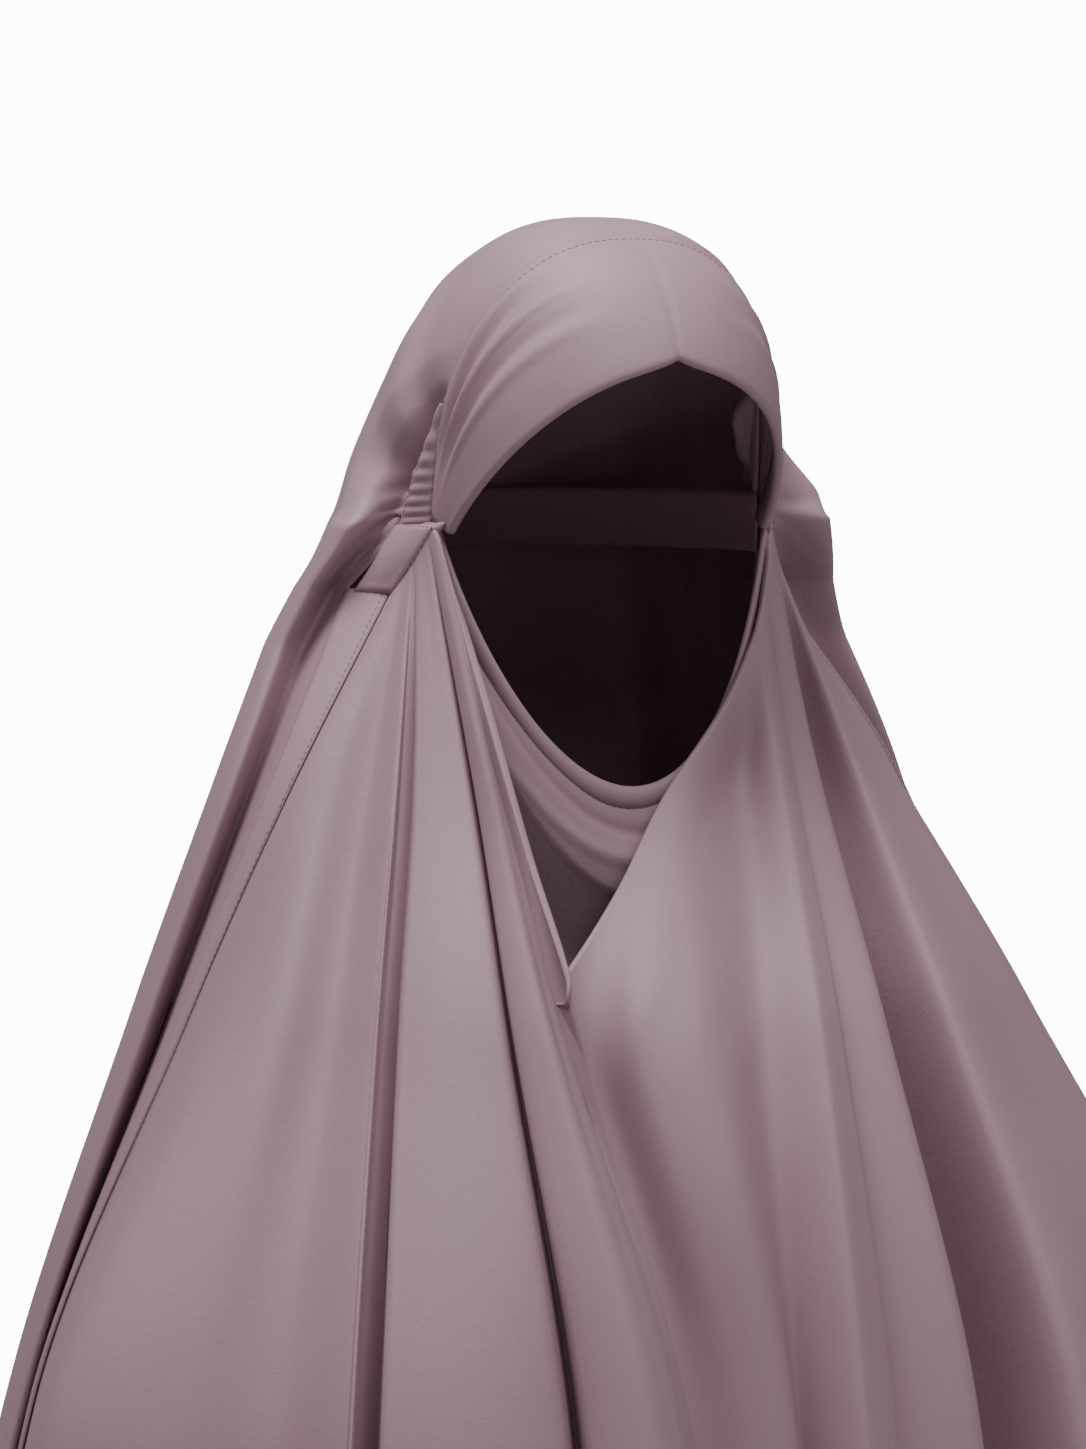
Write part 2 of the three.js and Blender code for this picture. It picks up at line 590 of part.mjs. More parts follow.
function gatherCasing(side) {
  const rows = 14;
  const grid = [];
  for (let row = 0; row <= rows; row += 1) {
    const share = row / rows;
    const front = archAtDrop(THREE.MathUtils.lerp(-archPoint(ARCH_START).z, TEMPLE_DROP - CLOTH, share));
    const back = casingEdge(share);
    const along = back.clone().sub(front).normalize();
    const pucker = (row % 2 === 0 ? 1 : -1) * 0.35 * CLOTH;
    const start = front.addScaledVector(along, SEAM_GAP + CLOTH);
    const stop = back.addScaledVector(along, -SEAM_GAP - CLOTH);
    const middle = start.clone().lerp(stop, 0.5).add(point(-1.2 * CLOTH - pucker, 0, 0));
    grid.push([stop, middle, start]);
  }
  const sided = side === "right" ? grid : grid.map((line) => line.map(mirrored).reverse());
  return piece(`gather_casing_${side}`, clothSheet(sided));
}

function templePatch(side) {
  const corner = (key) => templeCorner(TEMPLE[key]).add(point(-1.7 * CLOTH, -0.5 * CLOTH, CLOTH));
  const [tie, rear, foot, heel] = ["tie", "rear", "foot", "heel"].map(corner);
  const grid = makeGrid(4, 4, (row, column) => (
    rear.clone().lerp(tie, column).lerp(heel.clone().lerp(foot, column), row)
  ));
  const sided = side === "right" ? grid : grid.map((line) => line.map(mirrored).reverse());
  return piece(`temple_patch_${side}`, clothSheet(sided));
}

function faceBinding() {
  const grid = makeGrid(2, JAW_COLUMNS, (row, column) => {
    const angle = THREE.MathUtils.lerp(-JAW_HALF_ANGLE, JAW_HALF_ANGLE, column);
    return jawPoint(angle).addScaledVector(jawRun(angle), row * BINDING_WIDTH);
  });
  return piece("face_binding", clothSheet(grid));
}

// The panel bulges forward to its fold under the chin, turns in there and hangs to its hem
function chinPanel() {
  const foldRows = 3;
  const hemRows = 5;
  const angles = makeGrid(0, JAW_COLUMNS, (_, column) => (
    THREE.MathUtils.lerp(-JAW_HALF_ANGLE, JAW_HALF_ANGLE, column)
  ))[0];
  const grid = [];
  for (let row = 0; row <= foldRows + hemRows; row += 1) {
    grid.push(angles.map((angle) => {
      const low = Math.cos(radians(angle));
      const start = jawPoint(angle).addScaledVector(jawRun(angle), BINDING_WIDTH + 1.5 * CLOTH);
      const bulge = CHIN_FOLD_DEPTH * (0.25 + 0.75 * low);
      const drop = CHIN_FOLD * Math.pow(low, 0.5);
      const above = Math.min(1, row / foldRows);
      const below = Math.max(0, row - foldRows) / hemRows;
      const p = start.add(point(0, -bulge * Math.sin(Math.PI * 0.5 * above), -drop * above));
      const turned = Math.min(1, 3 * below);
      return p.add(point(0, 0.75 * bulge * turned, -(PANEL_HEM_DROP + p.z) * Math.pow(below, 1.2)));
    }));
  }
  return piece("chin_panel", clothSheet(grid), liningMaterial);
}

// The hidden strap that holds the brow band, from casing to casing round the back of the head
function napeTie() {
  const inset = CLOTH + SEAM_GAP;
  const grid = makeGrid(2, 24, (row, column) => {
    const angle = radians(THREE.MathUtils.lerp(-TIE_LAP, 180 + TIE_LAP, column));
    const lap = TEMPLE_FORWARD * Math.abs(Math.cos(angle));
    return point(
      -(HEAD_HALF_WIDTH - inset) * Math.cos(angle),
      (HEAD_HALF_DEPTH - inset) * Math.sin(angle) - lap,
      -TEMPLE_DROP + TIE_WIDTH * (0.5 - row),
    );
  });
  return piece("nape_tie", clothSheet(grid));
}

const khimar = new THREE.Group();
khimar.add(browBand(), veil(), frontDrape(), chinPanel(), faceBinding(), napeTie());
for (const side of ["right", "left"]) {
  khimar.add(sideWelt(side), gatherCasing(side), templePatch(side));
}
export default khimar;
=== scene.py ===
"""Looks of the khimar veil: fine cloth surfaces, stitches, fabric finishes, soft light and a camera.

Metres, +Z up, the wearer looks along -Y, and the origin is the inside of the crown. The guide lines
are those of the construction model, divided more finely, with creases, hems and seams added.
"""
import logging
import math
from dataclasses import dataclass, field
from enum import Enum
from typing import Optional, Sequence

import bpy
import numpy as np
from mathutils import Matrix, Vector


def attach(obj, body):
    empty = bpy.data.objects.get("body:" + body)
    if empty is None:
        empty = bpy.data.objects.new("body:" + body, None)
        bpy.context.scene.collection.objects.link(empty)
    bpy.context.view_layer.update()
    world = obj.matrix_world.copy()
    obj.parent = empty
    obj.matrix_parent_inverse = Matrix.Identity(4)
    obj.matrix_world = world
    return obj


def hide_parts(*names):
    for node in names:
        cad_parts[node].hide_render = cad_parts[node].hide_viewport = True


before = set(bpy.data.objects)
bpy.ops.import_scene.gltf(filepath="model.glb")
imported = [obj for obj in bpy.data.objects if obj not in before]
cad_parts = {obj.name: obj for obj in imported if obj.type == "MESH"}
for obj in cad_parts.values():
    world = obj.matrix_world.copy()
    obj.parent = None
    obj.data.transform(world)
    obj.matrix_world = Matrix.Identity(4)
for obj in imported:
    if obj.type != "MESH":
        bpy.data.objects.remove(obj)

LOG = logging.getLogger("khimar")
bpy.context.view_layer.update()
BODY = "root"
Share = tuple[float, float]
Color = tuple[float, float, float]


class Start(Enum):
    """Where a fold line of the drape starts."""

    RIGHT_GATHER = "right gather"
    RIGHT_NECKLINE = "right neckline"
    LEFT_NECKLINE = "left neckline"
    LEFT_GATHER = "left gather"


class Edge(Enum):
    """An edge of a grid of cloth."""

    TOP = "top"
    BOTTOM = "bottom"


class Side(Enum):
    """A side of the wearer, with the sign of its X."""

    RIGHT = -1
    LEFT = 1


@dataclass(frozen=True)
class Level:
    """A level below the temples, with its half width and reaches and the veil's.

    Left is what the veil's left side adds, as a share of the half head.
    """

    drop: float
    side: float
    front: float
    back: float
    veil: float
    left: float


@dataclass(frozen=True)
class Fold:
    """A fold line of the drape. Its levels are shares of half width and front reach."""

    name: str
    start: Start
    at: float
    throat: Optional[Share] = None
    collar: Optional[Share] = None
    bust: Optional[Share] = None
    hem: Optional[Share] = None
    crisp: float = 0.0


@dataclass(frozen=True)
class HeadSection:
    """A section of the veil over the head, as shares of the head and of the crown's rise."""

    tilt: float
    spread: float
    left: float
    reach: float
    lean: float
    start: float
    edge: float
    gap: float
    fold: float


@dataclass(frozen=True)
class VeilFold:
    """A fold round the back: its angle from the side seam, its depths as shares and how crisp it is.

    Crown and hang are its depths over the crown and in the fall, tuck is how far the fall is
    pushed back there.
    """

    name: str
    turn: float
    crown: float
    hang: float
    tuck: float = 0.0
    crisp: float = 0.0


@dataclass(frozen=True)
class Corner:
    """A corner of the gathered temple, as shares of the patch."""

    out: float
    back: float
    below: float


@dataclass(frozen=True)
class Hem:
    """A folded edge: the fold's radius, and how far the cloth reaches back behind itself."""

    radius: float
    depth: float


@dataclass(frozen=True)
class Crease:
    """A crease: where it starts, how far it drifts on its way, its width and its share of the relief."""

    centre: float
    drift: float
    width: float
    height: float


LEVELS = {
    "throat": Level(drop=0.230, side=0.143, front=0.105, back=0.114, veil=0.145, left=0.13),
    "collar": Level(drop=0.324, side=0.184, front=0.146, back=0.134, veil=0.178, left=0.05),
    "bust": Level(drop=0.480, side=0.262, front=0.192, back=0.158, veil=0.224, left=0),
    "hem": Level(drop=0.800, side=0.325, front=0.232, back=0.188, veil=0.290, left=0),
}

FRONT_FOLDS = (
    Fold("right seam", Start.RIGHT_GATHER, 0.0, (-0.98, 0.13), (-0.99, 0.03), (-0.92, -0.1), (-0.9, -0.15)),
    Fold("side turn", Start.RIGHT_GATHER, 0.1,
         (-0.96, 0.2), (-0.975, 0.27), (-1.01, 0.31), (-0.96, 0.3), crisp=0.3),
    Fold("side panel", Start.RIGHT_GATHER, 0.22,
         (-0.91, 0.27), (-0.915, 0.43), (-0.865, 0.52), (-0.83, 0.54)),
    Fold("first valley", Start.RIGHT_GATHER, 0.36,
         (-0.81, 0.31), (-0.795, 0.46), (-0.73, 0.6), (-0.7, 0.6), crisp=0.2),
    Fold("first pleat", Start.RIGHT_GATHER, 0.46,
         (-0.77, 0.46), (-0.745, 0.62), (-0.67, 0.8), (-0.64, 0.83), crisp=0.8),
    Fold("first tuck", Start.RIGHT_GATHER, 0.5,
         (-0.75, 0.42), (-0.725, 0.585), (-0.655, 0.77), (-0.625, 0.8), crisp=0.9),
    Fold("second valley", Start.RIGHT_GATHER, 0.57,
         (-0.7, 0.41), (-0.67, 0.56), (-0.6, 0.725), (-0.57, 0.75), crisp=0.8),
    Fold("broad pleat edge", Start.RIGHT_GATHER, 0.62,
         (-0.725, 0.5), (-0.715, 0.68), (-0.645, 0.86), (-0.62, 0.88), crisp=0.9),
    Fold("broad pleat", Start.RIGHT_GATHER, 0.74,
         (-0.655, 0.58), (-0.62, 0.79), (-0.53, 0.95), (-0.5, 0.97)),
    Fold("broad pleat side", Start.RIGHT_GATHER, 0.84,
         (-0.6, 0.61), (-0.525, 0.83), (-0.38, 0.96), (-0.31, 0.97), crisp=0.4),
    Fold("deep valley", Start.RIGHT_GATHER, 0.88,
         (-0.555, 0.54), (-0.47, 0.74), (-0.32, 0.85), (-0.24, 0.86), crisp=0.8),
    Fold("roll side", Start.RIGHT_GATHER, 0.93,
         (-0.585, 0.64), (-0.505, 0.85), (-0.34, 0.97), (-0.25, 0.98), crisp=0.3),
    Fold("neck roll", Start.RIGHT_GATHER, 1.0, (-0.575, 0.72), (-0.46, 0.93), (-0.27, 1.06), (-0.17, 1.06)),
    Fold("upper neck edge", Start.RIGHT_NECKLINE, 0.3,
         (-0.53, 0.7), (-0.415, 0.9), (-0.22, 1.06), (-0.11, 1.06)),
    Fold("lower neck edge", Start.RIGHT_NECKLINE, 0.7,
         collar=(-0.385, 0.86), bust=(-0.195, 1.02), hem=(-0.085, 1.02)),
    Fold("foot of the neckline", Start.RIGHT_NECKLINE, 1.0, bust=(-0.17, 0.96), hem=(-0.07, 0.96)),
    Fold("under turn", Start.LEFT_NECKLINE, 0.0, bust=(-0.18, 0.89), hem=(-0.08, 0.89)),
    Fold("under panel", Start.LEFT_NECKLINE, 0.09, bust=(-0.13, 0.885), hem=(-0.05, 0.89)),
    Fold("chest panel", Start.LEFT_NECKLINE, 0.3,
         collar=(-0.235, 0.915), bust=(-0.06, 0.935), hem=(-0.01, 0.95)),
    Fold("chest crown", Start.LEFT_NECKLINE, 0.5,
         collar=(-0.09, 0.945), bust=(0.0, 0.945), hem=(0.03, 0.95)),
    Fold("chest valley", Start.LEFT_NECKLINE, 0.72,
         (0.31, 0.48), (0.095, 0.84), (0.045, 0.86), (0.045, 0.85)),
    Fold("left first pleat", Start.LEFT_NECKLINE, 0.84,
         (0.39, 0.6), (0.195, 0.94), (0.105, 1.0), (0.095, 1.01), crisp=0.3),
    Fold("left step", Start.LEFT_NECKLINE, 0.89,
         (0.455, 0.55), (0.26, 0.895), (0.175, 0.95), (0.16, 0.95), crisp=0.6),
    Fold("left tuck", Start.LEFT_NECKLINE, 0.92,
         (0.465, 0.5), (0.275, 0.84), (0.19, 0.89), (0.175, 0.88), crisp=0.7),
    Fold("left second pleat", Start.LEFT_NECKLINE, 0.97,
         (0.56, 0.48), (0.395, 0.83), (0.33, 0.92), (0.315, 0.92), crisp=0.5),
    Fold("left deep valley", Start.LEFT_GATHER, 0.9,
         (0.64, 0.24), (0.49, 0.5), (0.43, 0.6), (0.415, 0.6), crisp=0.6),
    Fold("left third pleat", Start.LEFT_GATHER, 0.68,
         (0.715, 0.42), (0.59, 0.77), (0.515, 0.91), (0.495, 0.92), crisp=0.15),
    Fold("left side valley", Start.LEFT_GATHER, 0.42,
         (0.82, 0.32), (0.79, 0.58), (0.74, 0.73), (0.725, 0.72), crisp=0.3),
    Fold("left side pleat", Start.LEFT_GATHER, 0.18,
         (0.9, 0.22), (0.945, 0.4), (0.92, 0.52), (0.9, 0.52)),
    Fold("left seam", Start.LEFT_GATHER, 0.0, (0.96, 0.09), (0.99, 0.02), (1.0, -0.1), (0.96, -0.15)),
)

# The left neckline from its foot to the temple: across the half head, forward and fall as shares
LEFT_NECKLINE = np.array([
    (-0.93, 0.88, 1.0),
    (-0.74, 0.84, 0.95),
    (-0.45, 0.74, 0.84),
    (-0.2, 0.63, 0.72),
    (0.08, 0.52, 0.6),
    (0.36, 0.45, 0.5),
    (0.64, 0.36, 0.38),
    (0.88, 0.275, 0.21),
    (1.04, 0.18, 0.03),
])

HEAD_SECTIONS = (
    HeadSection(
        tilt=75, spread=1.0, left=0.0, reach=0.98, lean=1.5, start=18, edge=0.0, gap=0, fold=0.0,
    ),
    HeadSection(
        tilt=90, spread=1.0, left=0.0, reach=1.0, lean=1.35, start=15, edge=0.2, gap=0.3, fold=0.0,
    ),
    HeadSection(
        tilt=102, spread=1.0, left=0.0, reach=1.0, lean=1.2, start=12, edge=0.38, gap=0.45, fold=0.0,
    ),
    HeadSection(
        tilt=114, spread=1.07, left=0.1, reach=0.985, lean=1.1, start=9, edge=0.56, gap=0.5, fold=0.05,
    ),
    HeadSection(
        tilt=136, spread=1.09, left=0.28, reach=0.955, lean=1.0, start=6, edge=0.76, gap=0.45, fold=0.1,
    ),
    HeadSection(
        tilt=158, spread=1.21, left=0.36, reach=0.9, lean=1.0, start=3, edge=0.92, gap=0.3, fold=0.2,
    ),
    HeadSection(
        tilt=180, spread=1.35, left=0.26, reach=0.865, lean=1.0, start=0, edge=1.08, gap=0.1, fold=0.3,
    ),
)

VEIL_FOLDS = (
    VeilFold("seam edge", 0, 0, 0),
    VeilFold("side gap", 3, -0.8, -0.5, 1.3),
    VeilFold("roll lip", 7, 0.1, 0.5, -0.5, 0.3),
    VeilFold("side roll", 14, 0.5, 0.6, -0.1, 0.6),
    VeilFold("roll crease", 22, 0.35, 0.2, 0, 0.2),
    VeilFold("shoulder ridge", 33, 0.15, 0.35),
    VeilFold("shoulder valley", 45, 0, -0.4),
    VeilFold("blade ridge", 56, 0, 0.3),
    VeilFold("blade valley", 67, 0, -0.45),
    VeilFold("spine ridge", 78, 0, 0.3),
    VeilFold("centre back", 90, 0, -0.15),
)


def vector(x: float, y: float, z: float) -> np.ndarray:
    """Returns a point or direction as an array."""
    return np.array([x, y, z], dtype=float)


def unit(vectors: np.ndarray) -> np.ndarray:
    """Returns the vectors at length one."""
    return vectors / np.maximum(np.linalg.norm(vectors, axis=-1, keepdims=True), 1e-9)


def hermite(a: np.ndarray, b: np.ndarray, leave: np.ndarray, arrive: np.ndarray, t: np.ndarray) -> np.ndarray:
    """Blends from a to b with the tangents leave and arrive, at t from 0 to 1."""
    t2 = t * t
    t3 = t2 * t
    return (2 * t3 - 3 * t2 + 1) * a + (t3 - 2 * t2 + t) * leave + (3 * t2 - 2 * t3) * b + (t3 - t2) * arrive


def smooth(places: Sequence[float], values: Sequence[float], at: np.ndarray) -> np.ndarray:
    """Interpolates uneven knots with slopes taken from their neighbours.

    Args:
        places: where the knots lie, rising.
        values: the knots' values.
        at: where to read the curve.

    Returns:
        The values at those places.
    """
    places = np.asarray(places, dtype=float)
    values = np.asarray(values, dtype=float)
    at = np.asarray(at, dtype=float)
    last = len(places) - 1
    before = np.maximum(np.arange(last + 1) - 1, 0)
    after = np.minimum(np.arange(last + 1) + 1, last)
    slopes = (values[after] - values[before]) / (places[after] - places[before])
    i = np.searchsorted(places[1:-1], at, side="left")
    span = places[i + 1] - places[i]
    return hermite(values[i], values[i + 1], span * slopes[i], span * slopes[i + 1], (at - places[i]) / span)


def through(points: np.ndarray, shares: np.ndarray) -> np.ndarray:
    """Runs a smooth centripetal curve through points.

    Args:
        points: the knots, with any leading axes, then one axis of knots and one of X, Y and Z.
        shares: where to read it, from 0 at the first knot to 1 at the last.

    Returns:
        The curve's points, in place of the axis of knots.
    """
    first = 2 * points[..., :1, :] - points[..., 1:2, :]
    final = 2 * points[..., -1:, :] - points[..., -2:-1, :]
    knots = np.concatenate([first, points, final], axis=-2)
    spans = points.shape[-2] - 1
    place = np.clip(shares, 0, 1) * spans
    segment = np.minimum(place.astype(int), spans - 1)
    p0, p1, p2, p3 = (knots[..., segment + k, :] for k in range(4))

    def step(a: np.ndarray, b: np.ndarray) -> np.ndarray:
        """Returns the root of the distance, the knot spacing of a centripetal curve."""
        return np.maximum(np.sqrt(np.linalg.norm(b - a, axis=-1, keepdims=True)), 1e-4)

    d0, d1, d2 = step(p0, p1), step(p1, p2), step(p2, p3)
    leave = ((p1 - p0) / d0 - (p2 - p0) / (d0 + d1) + (p2 - p1) / d1) * d1
    arrive = ((p2 - p1) / d1 - (p3 - p1) / (d1 + d2) + (p3 - p2) / d2) * d1
    return hermite(p1, p2, leave, arrive, (place - segment)[:, None])


def waves(rows: int, columns: int, down: int, across: int, seed: int) -> np.ndarray:
    """Makes a smooth random field between about -1 and 1.

    Args:
        rows: how many rows the field has.
        columns: how many columns it has.
        down: how many waves it has down the rows.
        across: how many waves it has across the columns.
        seed: the fixed seed.

    Returns:
        The field.
    """
    rng = np.random.default_rng(seed)
    coarse = rng.uniform(-1.6, 1.6, (down + 3, across + 3))

    def weights(count: int, cells: int) -> np.ndarray:
        """Returns the cubic weights of the coarse values at each fine place."""
        place = np.linspace(0, cells, count) * (1 - 1e-9)
        cell = place.astype(int)
        t = place - cell
        parts = ((1 - t) ** 3, 3 * t ** 3 - 6 * t ** 2 + 4, -3 * t ** 3 + 3 * t ** 2 + 3 * t + 1, t ** 3)
        table = np.zeros((count, cells + 3))
        for k, part in enumerate(parts):
            table[np.arange(count), cell + k] = part / 6
        return table

    return weights(rows, down) @ coarse @ weights(columns, across).T


@dataclass(frozen=True)
class Sway:
    """The slow unevenness of soft cloth: its relief, its waves down and across, and its seed."""

    relief: float
    down: int
    across: int
    seed: int

    def depths(self, rows: int, columns: int) -> np.ndarray:
        """Returns the depth at each point of a grid."""
        return self.relief * waves(rows, columns, self.down, self.across, self.seed)


def add_object(name: str, data: bpy.types.ID) -> bpy.types.Object:
    """Adds an object to the scene and returns it."""
    thing = bpy.data.objects.new(name, data)
    bpy.context.scene.collection.objects.link(thing)
    return thing


def add_node(
    tree: bpy.types.NodeTree, kind: str, inputs: Optional[dict[str | int, object]] = None, **settings: str
) -> bpy.types.Node:
    """Adds a node to a tree.

    Args:
        tree: the tree.
        kind: the node's type.
        inputs: for each input, by name or number, its value or the socket that it is linked to.
        settings: the node's own settings.

    Returns:
        The new node.
    """
    node = tree.nodes.new(kind)
    for key, value in settings.items():
        setattr(node, key, value)
    for key, value in (inputs or {}).items():
        if isinstance(value, bpy.types.NodeSocket):
            tree.links.new(value, node.inputs[key])
        else:
            node.inputs[key].default_value = value
    return node


def ridge(distance: np.ndarray, width: float) -> np.ndarray:
    """Returns a rounded ridge: 1 at distance 0, and near 0 past the width."""
    return np.exp(-(distance / width) ** 2)


def fade(value: np.ndarray, start: float, stop: float) -> np.ndarray:
    """Returns a smooth step from 0 at start to 1 at stop."""
    t = np.clip((value - start) / (stop - start), 0, 1)
    return t * t * (3 - 2 * t)


@dataclass(frozen=True)
class Cut:
    """The sizes that the cloth is cut to, with the guide lines worked out from them."""

    head_half_width: float = 0.074
    head_half_depth: float = 0.094
    head_widest_drop: float = 0.105
    temple_drop: float = 0.125
    temple_forward: float = 0.012
    chin_drop: float = 0.232
    chin_forward: float = 0.050
    veil_length: float = 0.800
    drape_sway: float = 0.004
    brow_drop: float = 0.052
    brow_peak: float = 0.005
    brow_peak_bearing: float = 6.0
    brow_half_angle: float = 75.0
    arch_squareness: float = 2.7
    arch_start: float = 18.0
    crown_rise: float = 0.126
    cowl_drop: float = 0.308
    cowl_forward: float = 0.125
    cowl_side: float = 0.070
    panel_hem_drop: float = 0.400
    jaw_half_angle: float = 86.0
    chin_fold: float = 0.036
    chin_fold_depth: float = 0.012
    wall: float = 0.0015
    seam_gap: float = 0.0004
    binding_width: float = 0.008
    welt_width: float = 0.0025
    welt_flare: float = 0.022
    welt_turn: float = 60.0
    casing_width: float = 0.014
    patch_size: float = 0.024
    tie_width: float = 0.025
    tie_lap: float = 3.0
    fold_depth: float = 0.020
    veil_pull: float = 9.0
    veil_settle: float = 0.050
    row_crowding: float = 1.35
    tie: Corner = Corner(0, -0.33, 0)
    rear: Corner = Corner(0.12, 0.79, 0)
    knot: Corner = Corner(0.02, -0.37, 0.06)
    seam: Corner = Corner(0.38, 0.5, 1.1)
    foot: Corner = Corner(0.36, 0.36, 1.02)
    heel: Corner = Corner(0.7, 1.08, 1.0)

    def corner(self, corner: Corner) -> np.ndarray:
        """Returns a corner of the gathered temple on the wearer's right."""
        return vector(
            -self.head_half_width - 2 * self.wall - corner.out * self.patch_size,
            -self.temple_forward + corner.back * self.patch_size,
            -self.temple_drop - corner.below * self.patch_size,
        )

    def head_point(
        self, angle: np.ndarray, tilt: float, spread: float, reach: float, lean: float, middle: float
    ) -> np.ndarray:
        """Returns points over the head.

        Args:
            angle: degrees from the right temple (0) to the left one (180).
            tilt: how far the section leans back from the brow, in degrees.
            spread: share of the half head.
            reach: share of the crown's rise.
            lean: how the section's foot bends upright.
            middle: where the section's foot lies along Y.

        Returns:
            One point for each angle.
        """
        turned = np.radians(np.clip(angle, 0.01, 179.99))
        rise = np.sin(turned) ** (2 / self.arch_squareness)
        across = np.abs(np.cos(turned)) ** (2 / self.arch_squareness)
        x = -np.sign(np.cos(turned)) * spread * self.head_half_width * across
        y = middle - reach * self.crown_rise * math.cos(math.radians(tilt)) * rise ** lean
        z = -self.temple_drop + reach * self.crown_rise * math.sin(math.radians(tilt)) * rise
        return np.stack([x, y + 0 * x, z], axis=-1)

    def arch_point(self, angle: np.ndarray) -> np.ndarray:
        """Returns the seam between brow band and veil at angles from the right temple."""
        section = HEAD_SECTIONS[0]
        return self.head_point(
            np.asarray(angle, dtype=float), section.tilt, section.spread, section.reach, section.lean,
            -self.temple_forward,
        )

    def arch_at_drop(self, drop: np.ndarray) -> np.ndarray:
        """Returns the arch's right foot at drops below the crown."""
        section = HEAD_SECTIONS[0]
        full = section.reach * self.crown_rise * math.sin(math.radians(section.tilt))
        rise = (self.temple_drop - drop) / full
        return self.arch_point(np.degrees(np.arcsin(rise ** (self.arch_squareness / 2))))

    def onto_head(self, points: np.ndarray) -> np.ndarray:
        """Pushes points out to the head that the band is shaped over."""
        x = np.abs(points[..., 0]) / (self.head_half_width + self.wall)
        y = np.abs(points[..., 1]) / (self.head_half_depth + self.wall)
        z = np.abs(points[..., 2] + self.head_widest_drop) / self.head_widest_drop
        flat = (x ** 2.2 + y ** 2.2) ** (2.5 / 2.2)
        scale = (flat + z ** 2.5) ** (-1 / 2.5)
        middle = vector(0, 0, -self.head_widest_drop)
        return middle + (points - middle) * scale[..., None]

    def jaw_point(self, angle: np.ndarray) -> np.ndarray:
        """Returns the bound face edge, from the right temple (-90) by the chin to the left one."""
        turned = np.radians(angle)
        low = np.cos(turned)
        tie_y = self.corner(self.tie)[1]
        return np.stack([
            (self.head_half_width + self.wall) * np.sin(turned),
            tie_y + (-self.chin_forward - tie_y) * low ** 1.8,
            -self.temple_drop - (self.chin_drop - self.temple_drop) * low ** 1.6,
        ], axis=-1)

    @staticmethod
    def jaw_run(angle: np.ndarray) -> np.ndarray:
        """Returns the way that the cloth runs on from the jaw: back at the sides, down at the chin."""
        side = np.sin(np.radians(angle))
        low = np.cos(np.radians(angle))
        return unit(np.stack([0.12 * side, 0.85 * side * side - 0.15 * low, -0.95 * low - 0.3], axis=-1))

    def start_point(self, fold: Fold) -> np.ndarray:
        """Returns where a fold line of the drape starts."""
        if fold.start is Start.RIGHT_NECKLINE:
            foot = vector(self.drape_sway - self.cowl_side, -self.cowl_forward, -self.cowl_drop)
            top = self.corner(self.tie)
            return top + (foot - top) * fold.at
        if fold.start is Start.LEFT_NECKLINE:
            across, forward, fall = LEFT_NECKLINE.T
            knots = np.stack([
                across * self.head_half_width,
                -forward * self.cowl_forward,
                -self.temple_drop - fall * (self.cowl_drop - self.temple_drop),
            ], axis=-1)
            return through(knots, np.array([fold.at]))[0]
        low = self.corner(self.seam)
        point = low + (self.corner(self.knot) - low) * fold.at
        return point if fold.start is Start.RIGHT_GATHER else point * vector(-1, 1, 1)

    def fold_line(self, fold: Fold, shares: np.ndarray) -> np.ndarray:
        """Returns a fold line from its start down to the hem, at shares of its drop."""
        top = self.start_point(fold)
        drops, xs, ys = [-top[2]], [top[0]], [top[1]]
        for name, level in LEVELS.items():
            place = getattr(fold, name)
            if place and level.drop > -top[2] + self.wall:
                drops.append(level.drop)
                xs.append(place[0] * level.side + self.drape_sway)
                ys.append(-place[1] * level.front)
        drop = drops[0] + (self.veil_length - drops[0]) * shares
        return np.stack([smooth(drops, xs, drop), smooth(drops, ys, drop), -drop], axis=-1)

    def rows(self, count: int) -> np.ndarray:
        """Returns the shares of the drop of a count of rows, crowded near the top."""
        return np.linspace(0, 1, count) ** self.row_crowding

    def welt_edges(self, side: Side, shares: np.ndarray) -> tuple[np.ndarray, np.ndarray, np.ndarray]:
        """Returns the welt's front edge, its back edge and the way in behind it."""
        fold = FRONT_FOLDS[0] if side is Side.RIGHT else FRONT_FOLDS[-1]
        turn = math.radians(self.welt_turn)
        run = vector(side.value * math.cos(turn), math.sin(turn), 0)
        seam = self.fold_line(fold, shares)
        wide = self.welt_width + self.welt_flare * (1 - shares) ** 6
        inward = vector(-side.value * math.sin(turn), math.cos(turn), 0)
        return seam + run * (self.seam_gap + self.wall / 2), seam + run * wide[:, None], inward

    def casing_edge(self, share: np.ndarray) -> np.ndarray:
        """Returns the back edge of the right gather casing, from its top (0) to the patch (1)."""
        share = np.asarray(share, dtype=float)[..., None]
        top = self.arch_point(self.arch_start) + vector(0, 2.5 * self.wall, 0)
        point = top + (self.corner(self.rear) - top) * share
        bow = 4 * share * (1 - share)
        return point + bow * vector(-0.5 * self.wall, 0.12 * self.casing_width, 0)


CUT = Cut()
HEM_STEPS = 5
# The radians that a wave texture turns through per unit of its scale
WAVE_RATE = 20


